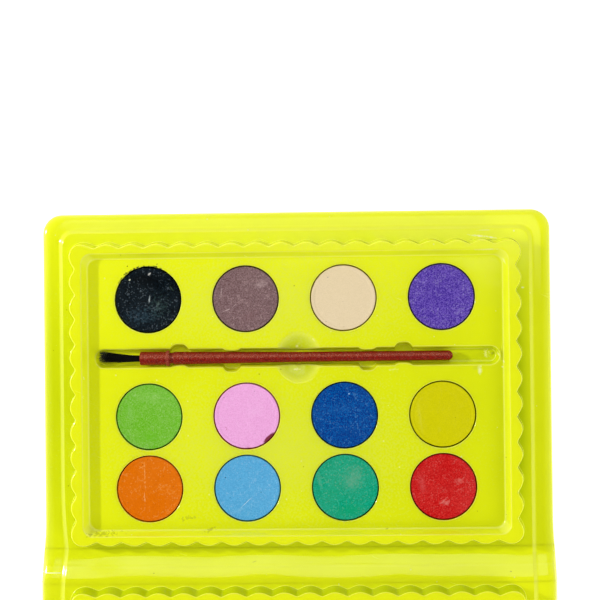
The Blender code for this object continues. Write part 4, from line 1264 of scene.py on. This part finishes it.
def spine_sheet(joints, ledge_x):
    """The panel between the two folds, with its middle crease and the slit in its left rim."""
    tool_end, paint_end = (Vector(joints[name]["pos_m"]) for name in ("tool_fold", "paint_fold"))
    slit = (SLIT_SHARE - SLIT_HALF_SHARE, SLIT_SHARE + SLIT_HALF_SHARE)
    start, end = SPINE_FLATS[0], 1 - SPINE_FLATS[1]
    bm = bmesh.new()
    chain = None
    for share in sorted({i / SPINE_STEPS for i in range(SPINE_STEPS + 1)} | set(slit)):
        y = tool_end.lerp(paint_end, share).y
        slope = clamped((share - start) / (end - start))
        slope = slope * slope * (3 - 2 * slope) * SPINE_CURVE + slope * (1 - SPINE_CURVE)
        level = tool_end.z + (paint_end.z - tool_end.z) * slope
        dent = CREASE_DENT * max(0.0, 1 - abs(share - 0.5) * SPINE_STEPS)
        waver = SPINE_WAVER * 4 * share * (1 - share)
        side = [(ledge_x + offset, height) for offset, height in rim_profile(level)]
        across = line((-side[0][0], level), (side[0][0], level), SPINE_ACROSS_STEPS)
        points = []
        for x, z in [(-x, z) for x, z in side[::-1]] + across + side:
            sag = dent + waver * noise.noise(Vector((x, 2 * y, 0.0)) / SPINE_WAVER_LENGTH)
            height = max(z - sag * min(1.0, z / MM), SPINE_TABLE_GAP)
            points.append((settled(x, y, abs(x) - ledge_x), y, height))
        if chain:
            chain = draw_ring(bm, chain, points, closed=False)
        else:
            chain = add_ring(bm, points, closed=False)
    low_y, high_y = (tool_end.lerp(paint_end, share).y for share in slit)
    gone = []
    for face in bm.faces:
        middle = face.calc_center_median()
        if middle.x < -ledge_x - SLIT_SETBACK and low_y < middle.y < high_y:
            gone.append(face)
    bmesh.ops.delete(bm, geom=gone, context="FACES")
    face_up(bm)
    note_edge_highlights(bm)
    # Painted shade along the spine, deepening towards the paint half's fold
    layer = bm.verts.layers.float.new(PAINTED_SHADE)
    for vert in bm.verts:
        share = (vert.co.y - tool_end.y) / (paint_end.y - tool_end.y)
        vert[layer] = FOLD_TONE + (PAINT_FOLD_TONE - FOLD_TONE) * share
    sheet = add_sheet(bm, "spine_sheet")
    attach(sheet, "spine")
    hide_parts("spine_panel")


# Paints


def paint_finish(colour):
    """Pressed dry paint: fine grain, hazy patches, pale powder specks, a few rubbed streaks and pits, and
    marks, among them painted glints and painted shade.
    """
    deep, light, pale = PAINT_TONES[colour]
    haze, grain, powder = PAINT_POWDER[colour]
    finish = Finish(f"dry_paint_{colour}", 0.8)
    finish.set("Specular IOR Level", 0.05)
    patches = finish.group("mottle", {"Scale": 75.0, "Detail": 5.0, "Contrast": 1.5})
    fine = finish.group("mottle", {"Scale": 1900.0, "Detail": 3.0, "Contrast": 3.4 * grain})
    base = finish.blend(fine, deep, light)
    base = finish.blend(finish.amount(patches, 0.6 * haze), base, finish.blend(0.4, light, pale))
    specks = finish.group("specks", {"Scale": 950.0, "Size": 0.34, "Share": 0.4})
    dusty = finish.amount(specks, finish.carried(patches, 0.0, 1.0, 0.3, 1.0))
    base = finish.blend(finish.amount(dusty, powder), base, pale)
    streaks = finish.group("squiggles", {"Scale": 240.0, "Width": 0.012, "Share": 0.5})
    base = finish.blend(finish.amount(streaks, 0.8 * powder), base, pale)
    pits = finish.group("specks", {"Scale": 420.0, "Size": 0.12, "Share": 0.12})
    base = finish.blend(finish.amount(pits, 0.45), base, tuple(0.55 * step for step in deep))
    low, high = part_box(f"tablet_{colour}")
    finish.link(finish.dabs(base, (low + high) / 2, PAINT_MARKS_AND_PAINTED_LIGHT[colour]), "Base Color")
    finish.bump(finish.total(patches, finish.amount(fine, 0.5)), 0.12 * MM, 0.7)
    return finish.material


def paint_tablet(colour):
    """A tablet with a dished face, a raised rim and an uneven, slightly chipped surface."""
    node = f"tablet_{colour}"
    low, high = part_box(node)
    radius = (high.x - low.x) / 2
    height = high.z - low.z
    rim_in = radius - TABLET_RIM
    profile = rounded(
        (
            (0.0, height - TABLET_DISH),
            (rim_in, height - TABLET_DISH),
            (rim_in + 0.4 * TABLET_RIM, height),
            (radius - 0.1 * TABLET_RIM, height),
            (radius, height - 0.5 * TABLET_RIM),
            (radius, 0.0),
            (0.0, 0.0),
        ),
        TABLET_ROUNDINGS,
        3,
    )
    rings = range(TABLET_FACE_RINGS)
    face = [Vector((rim_in * i / TABLET_FACE_RINGS, height - TABLET_DISH)) for i in rings]
    bm = turned(face + profile[1:], TABLET_SIDES)
    draws = random.Random(node)
    chips = []
    for _ in range(TABLET_CHIPS):
        angle = draws.uniform(0.0, math.tau)
        reach = radius - draws.uniform(*CHIP_SETBACKS) * MM
        place = Vector((reach * math.cos(angle), reach * math.sin(angle)))
        chips.append((place, draws.uniform(*CHIP_SIZES) * MM))
    seed = Vector((low.x, low.y, 0.0)) / MM
    for vert in bm.verts:
        if vert.co.z > height / 2:
            place = vert.co / MM + seed
            vert.co.z += sum(depth * noise.noise(place * scale) for scale, depth in TABLET_SWELLS)
            for chip, size in chips:
                near = 1 - (vert.co.xy - chip).length / size
                if near > 0:
                    vert.co.z -= CHIP_DEPTH * min(1.0, 2 * near)
    middle = (low + high) / 2
    bmesh.ops.translate(bm, verts=bm.verts, vec=(middle.x, middle.y, low.z))
    tablet = add_piece(bm, f"{node}_paint", [paint_finish(colour)])
    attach(tablet, "paint_tray")
    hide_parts(node)


# Brush


def handle_matrix():
    """The turn and move that lay the brush, drawn about Z with its tuft upwards, in its groove."""
    low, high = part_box("brush_handle")
    tail = high.x - low.x - SHAFT_END_RADIUS
    neck = GRIP_LENGTH + COLLAR_LENGTH
    tilt = math.asin((COLLAR_RADIUS - SHAFT_END_RADIUS) / (tail - neck))
    front_z = low.z + COLLAR_RADIUS * math.cos(tilt) + neck * math.sin(tilt)
    front = (low.x + BRUSH_SHIFT.x, (low.y + high.y) / 2 + BRUSH_SHIFT.y, front_z)
    return Matrix.Translation(front) @ Matrix.Rotation(tilt - math.pi / 2, 4, "Y")


def brush_finish(name, deep, light, roughness):
    """Cheap maroon plastic with flakes of a lighter tone in it, and a painted sheen along one side that
    brings out more of the flakes.
    """
    finish = Finish(name, roughness)
    finish.set("Specular IOR Level", 0.2)
    streaks = finish.group("mottle", {"Scale": 2000.0, "Detail": 4.0, "Contrast": 2.0})
    colour = finish.blend(streaks, deep, light)
    # Painted sheen, a pale cloud along the handle's upper side
    bloom_and_sheen = finish.attribute(PAINTED_SHEEN)
    cloud = finish.group("mottle", {"Scale": 1900.0, "Detail": 4.0, "Contrast": 2.6})
    sheen_share = finish.amount(bloom_and_sheen, finish.carried(cloud, 0.0, 1.0, 0.15, 0.8))
    colour = finish.blend(sheen_share, colour, (180, 92, 60))
    # Lighter flakes, more of them in the painted sheen
    flakes = finish.group("specks", {"Scale": 2600.0, "Size": 0.4, "Share": 0.35})
    flaked = finish.amount(flakes, finish.carried(bloom_and_sheen, 0.0, 1.0, 0.15, 0.6))
    finish.link(finish.blend(flaked, colour, (226, 150, 134)), "Base Color")
    finish.bump(streaks, 0.1 * MM, 0.5)
    return finish.material


def brush_handle():
    """The turned handle: socket, grip, collar, neck and a shaft that tapers to a round tail."""
    low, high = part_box("brush_handle")
    length = high.x - low.x
    neck = GRIP_LENGTH + COLLAR_LENGTH
    shaft = neck + NECK_LENGTH
    corners = (
        (0.0, SOCKET_DEPTH),
        (SOCKET_RADIUS, SOCKET_DEPTH),
        (SOCKET_RADIUS, 0.0),
        (GRIP_RADIUS, 0.0),
        (GRIP_RADIUS, GRIP_LENGTH),
        (COLLAR_RADIUS, GRIP_LENGTH),
        (COLLAR_RADIUS, neck),
        (NECK_RADIUS, neck),
        (NECK_RADIUS, shaft),
        (SHAFT_FRONT_RADIUS, shaft + NECK_LENGTH),
        (SHAFT_MIDDLE_RADIUS, length / 2),
        (SHAFT_END_RADIUS, length - SHAFT_END_RADIUS),
    )
    profile = rounded([(r, -d) for r, d in corners], [reach * MM for reach in HANDLE_ROUNDINGS], 4)
    end = SHAFT_END_RADIUS
    tail = arc((0.0, end - length), end, end, 0, -math.pi / 2, HANDLE_TAIL_STEPS)
    bm = turned(profile + tail[1:-1] + [(0.0, -length)], HANDLE_SIDES)
    for face in bm.faces:
        if -neck < face.calc_center_median().z < -GRIP_LENGTH + 0.1 * MM:
            face.material_index = 1
    bmesh.ops.transform(bm, matrix=handle_matrix(), verts=bm.verts)
    bm.normal_update()
    # Painted sheen where the handle faces up and a little towards +Y
    layer = bm.verts.layers.float.new(PAINTED_SHEEN)
    for vert in bm.verts:
        near = max(0.0, 1 - abs(vert.normal.y - PAINTED_SHEEN_LEVEL) / PAINTED_SHEEN_RANGE)
        vert[layer] = near * max(0.0, vert.normal.z)
    # The grip in maroon and the collar in a lighter maroon
    finishes = [
        brush_finish("maroon_flaked", (92, 6, 0), (150, 16, 0), 0.22),
        brush_finish("maroon_worn", (98, 10, 6), (164, 60, 48), 0.25),
    ]
    handle = add_piece(bm, "brush_turned_handle", finishes)
    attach(handle, "brush")
    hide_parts("brush_handle")


def strand_roots():
    """The middle of each hair where it leaves the handle, on a grid of even triangles."""
    rounds = math.ceil(2 * TUFT_ROOT_RADIUS / STRAND_PITCH)
    for row in range(-rounds, rounds + 1):
        for column in range(-rounds, rounds + 1):
            x = STRAND_PITCH * (column + row / 2)
            y = STRAND_PITCH * row * math.sqrt(3) / 2
            if math.hypot(x, y) < TUFT_ROOT_RADIUS:
                yield Vector((x, y, 0.0))


def add_hair(bm, root, tip, bow):
    """One hair: a thin three-sided rod that bows and narrows to its tip."""
    ring = None
    for step in range(HAIR_STEPS + 1):
        share = step / HAIR_STEPS
        middle = root.lerp(tip, share) + bow * math.sin(math.pi * share) * share
        spread = Vector(((tip - root).x, (tip - root).y, 0.0))
        middle += spread * (share * share - share) * HAIR_FLARE
        radius = HAIR_RADIUS * (1 - HAIR_TAPER * share**2)
        turns = [math.tau * side / 3 for side in range(3)]
        points = [middle + radius * Vector((math.cos(t), math.sin(t), 0.0)) for t in turns]
        ring = draw_ring(bm, ring, points) if ring else add_ring(bm, points)
    bmesh.ops.contextual_create(bm, geom=ring)


def bristle_finish():
    """Stiff black hair with a soft shine."""
    finish = Finish("black_hair", 0.5)
    finish.set("Specular IOR Level", 0.15)
    tips = finish.group("mottle", {"Scale": 500.0, "Detail": 2.0})
    finish.link(finish.blend(tips, (4, 4, 6), (22, 20, 24)), "Base Color")
    return finish.material


def brush_tuft():
    """The tuft: hairs that spread and lean up, with a few that stray."""
    draws = random.Random("tuft")
    spread = TUFT_TIP_RADIUS / TUFT_ROOT_RADIUS
    bm = bmesh.new()
    for root in strand_roots():
        shift = Vector((draws.gauss(0, HAIR_SCATTER), draws.gauss(0, HAIR_SCATTER), 0.0)) * MM
        tip = root * spread + shift + Vector((TUFT_LIFT, TUFT_LEAN, 0.0))
        dome = TUFT_DOME * (root.length / TUFT_ROOT_RADIUS) ** 2
        tip.z = TUFT_LENGTH - dome + draws.uniform(*HAIR_ENDS) * MM
        if draws.random() < STRAY_SHARE:
            tip += Vector([draws.uniform(*reach) for reach in STRAY_REACHES]) * MM
        bow = Vector((draws.gauss(0, HAIR_BOW), draws.gauss(HAIR_DROOP, HAIR_BOW), 0.0)) * MM
        add_hair(bm, root - Vector((0.0, 0.0, HAIR_ROOT)), tip, bow)
    bmesh.ops.recalc_face_normals(bm, faces=bm.faces)
    bmesh.ops.transform(bm, matrix=handle_matrix(), verts=bm.verts)
    tuft = add_piece(bm, "brush_tuft", [bristle_finish()])
    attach(tuft, "brush")
    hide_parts("brush_bristles")


# Pens and crayons


def lay_along_y(bm, place):
    """Lays a shape that stands on Z along Y, with its foot at a place."""
    matrix = Matrix.Translation(place) @ Matrix.Rotation(-math.pi / 2, 4, "X")
    bmesh.ops.transform(bm, matrix=matrix, verts=bm.verts)


def plastic_finish(name, colour, roughness):
    """Moulded plastic in one colour, faintly uneven and scuffed."""
    finish = Finish(name, roughness)
    patches = finish.group("mottle", {"Scale": 90.0, "Detail": 3.0})
    base = finish.blend(patches, tuple(0.95 * step for step in colour), colour)
    scuffs = finish.group("scratches", {"Scale": 1200.0, "Angle": 1.2, "Share": 0.45})
    finish.link(finish.blend(finish.amount(scuffs, 0.2), base, (245, 245, 240)), "Base Color")
    rough = finish.carried(patches, 0.0, 1.0, roughness * 0.85, roughness * 1.15)
    finish.link(rough, "Roughness")
    finish.bump(patches, 0.05 * MM, 0.5)
    return finish.material


def pen_pieces(colour):
    """A fibre pen: a white barrel with a coloured plug and nib, and a coloured cap with flutes."""
    low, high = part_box(f"pen_barrel_{colour}")
    cap_low, cap_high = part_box(f"pen_cap_{colour}")
    radius = (high.x - low.x) / 2
    foot = Vector(((low.x + high.x) / 2, low.y, low.z + radius))
    mouth = cap_low.y - low.y
    length = cap_high.y - low.y
    nib = high.y - low.y
    bore = radius - PEN_WALL
    barrel = (
        (0.0, 0.0),
        (radius - PEN_PLUG_INSET, 0.0),
        (radius - PEN_PLUG_INSET, PEN_PLUG_LENGTH),
        (radius, PEN_PLUG_LENGTH),
        (radius, mouth - PEN_SEAT),
        (bore - PEN_SEAT, mouth - PEN_SEAT),
        (bore - PEN_SEAT, mouth + PEN_NECK_LENGTH),
        (PEN_NOSE_RADIUS, nib - PEN_NIB_LENGTH),
        (PEN_NIB_RADIUS, nib - PEN_NIB_LENGTH),
        (PEN_NIB_RADIUS, nib - PEN_NIB_RADIUS),
        (0.0, nib),
    )
    bm = turned(rounded(barrel, [reach * MM for reach in PEN_BARREL_ROUNDINGS], 3), PEN_SIDES)
    for face in bm.faces:
        middle = face.calc_center_median().z
        if middle < PEN_PLUG_LENGTH or middle > nib - PEN_NIB_LENGTH:
            face.material_index = 1
    lay_along_y(bm, foot)
    cap_finish = plastic_finish(f"moulded_{colour}", PEN_TONES[colour], 0.3)
    body = add_piece(bm, f"pen_{colour}_barrel", [bpy.data.materials["moulded_white"], cap_finish])
    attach(body, f"pen_{colour}")
    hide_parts(f"pen_barrel_{colour}")
    hole = bore * CAP_HOLE_SHARE
    flutes = length - PEN_FLUTES_LENGTH
    cap = (
        (hole, length - PEN_WALL),
        (bore, length - PEN_WALL),
        (bore, mouth),
        (radius, mouth),
        (radius, mouth + PEN_BEAD),
        (radius - CAP_WAIST_INSETS[0], mouth + PEN_BEAD + CAP_BEAD_SLOPE),
        (radius - CAP_WAIST_INSETS[1], flutes),
        (radius - CAP_FLUTES_INSET, flutes + CAP_FLUTES_SLOPE),
        (radius - CAP_END_INSET, length),
        (hole, length),
        (hole, length - PEN_WALL),
    )
    bm = turned(rounded(cap, [reach * MM for reach in CAP_ROUNDINGS], 3), PEN_SIDES)
    for vert in bm.verts:
        if vert.co.z > flutes + 0.5 * MM and vert.co.xy.length > radius - 0.6 * MM:
            angle = math.atan2(vert.co.y, vert.co.x)
            vert.co.xy *= 1 - PEN_FLUTE_SHARE * (0.5 + 0.5 * math.cos(PEN_FLUTES * angle))
    lay_along_y(bm, foot)
    piece = add_piece(bm, f"pen_{colour}_cap", [cap_finish])
    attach(piece, f"pen_{colour}")
    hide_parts(f"pen_cap_{colour}")


def pale(tone, share):
    """A tone carried towards white by a share."""
    return tuple(step + share * (255 - step) for step in tone)


def wax_finish(colour):
    """Wax with a cloudy bloom."""
    finish = Finish(f"cloudy_wax_{colour}", 0.5)
    bloom_and_sheen = finish.group("mottle", {"Scale": 320.0, "Detail": 5.0, "Contrast": 1.2})
    tone = PEN_TONES[colour]
    finish.link(finish.blend(bloom_and_sheen, tone, pale(tone, 0.18)), "Base Color")
    finish.bump(bloom_and_sheen, 0.08 * MM, 0.5)
    return finish.material


def paper_finish(colour):
    """A thin printed paper sleeve in the wax's colour."""
    finish = Finish(f"sleeve_{colour}", 0.7)
    fibres = finish.group("mottle", {"Scale": 900.0, "Detail": 6.0})
    tone = PEN_TONES[colour]
    finish.link(finish.blend(fibres, pale(tone, 0.2), pale(tone, 0.35)), "Base Color")
    finish.bump(fibres, 0.03 * MM, 0.6)
    return finish.material


def wax_crayon(colour):
    """A crayon: a wax stick with a blunt point, in a paper sleeve with a dark band near each end."""
    node = f"crayon_{colour}"
    low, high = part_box(node)
    radius = (high.x - low.x) / 2
    length = high.y - low.y
    shoulder = length - CRAYON_POINT_LENGTH
    wax = radius - SLEEVE_THICKNESS
    top = shoulder - SLEEVE_SETBACK
    bands = (SLEEVE_SETBACK + BAND_SETBACK, top - BAND_SETBACK - BAND_WIDTH)
    profile = [(0.0, 0.0), (wax, 0.0), (wax, SLEEVE_SETBACK), (radius, SLEEVE_SETBACK)]
    profile += [(radius, place + step * BAND_WIDTH) for place in bands for step in (0, 1)]
    profile += [(radius, top), (wax, top), (wax, shoulder), (wax - CRAYON_SHOULDER, shoulder)]
    profile += [(CRAYON_POINT_RADIUS, length), (0.0, length)]
    bm = turned(rounded(profile, [reach * MM for reach in CRAYON_ROUNDINGS], 3), CRAYON_SIDES)
    for face in bm.faces:
        middle = face.calc_center_median().z
        if SLEEVE_SETBACK < middle < top:
            face.material_index = 1
        if any(place < middle < place + BAND_WIDTH for place in bands):
            face.material_index = 2
    lay_along_y(bm, Vector(((low.x + high.x) / 2, low.y, low.z + radius)))
    finishes = [wax_finish(colour), paper_finish(colour), bpy.data.materials["sleeve_print"]]
    crayon = add_piece(bm, f"{node}_stick", finishes)
    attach(crayon, node)
    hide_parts(node)


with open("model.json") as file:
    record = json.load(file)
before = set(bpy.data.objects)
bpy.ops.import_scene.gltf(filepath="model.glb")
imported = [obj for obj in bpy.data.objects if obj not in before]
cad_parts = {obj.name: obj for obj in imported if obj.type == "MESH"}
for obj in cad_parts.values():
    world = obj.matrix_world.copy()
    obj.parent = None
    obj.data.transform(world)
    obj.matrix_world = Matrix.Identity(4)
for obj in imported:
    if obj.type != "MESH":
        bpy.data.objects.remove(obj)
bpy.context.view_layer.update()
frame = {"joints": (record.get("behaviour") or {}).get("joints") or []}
joints = {joint["name"]: joint for joint in frame["joints"]}
for make_effect in (make_mottle, make_specks, make_scratches, make_squiggles, make_dab):
    make_effect()
for finish_name, used in zip(SHEET_FINISHES, (True, False)):
    lime_finish(finish_name, used)
plastic_finish("moulded_white", (240, 240, 236), 0.35)
plastic_finish("sleeve_print", (34, 32, 36), 0.6)
place_camera()
light_scene()
lay_floor()

paint_half = Half("paint_tray", 1)
tool_half = Half("tool_tray", -1)
wells = [well_pocket(paint_half, f"tablet_{colour}") for colour in COLOURS]
formed_sheet(paint_half, wells + [groove_pocket(paint_half)])
pens = [f"pen_{part}_{colour}" for colour in COLOURS for part in ("barrel", "cap")]
crayons = [f"crayon_{colour}" for colour in COLOURS]
formed_sheet(
    tool_half,
    [
        compartment_pocket(tool_half, pens, 1, (0.0,)),
        compartment_pocket(tool_half, crayons, -1, (-CRAYON_BAY_PLACE, CRAYON_BAY_PLACE)),
    ],
)
spine_sheet(joints, paint_half.ledge_x)
for colour in COLOURS:
    paint_tablet(colour)
    pen_pieces(colour)
    wax_crayon(colour)
brush_handle()
brush_tuft()
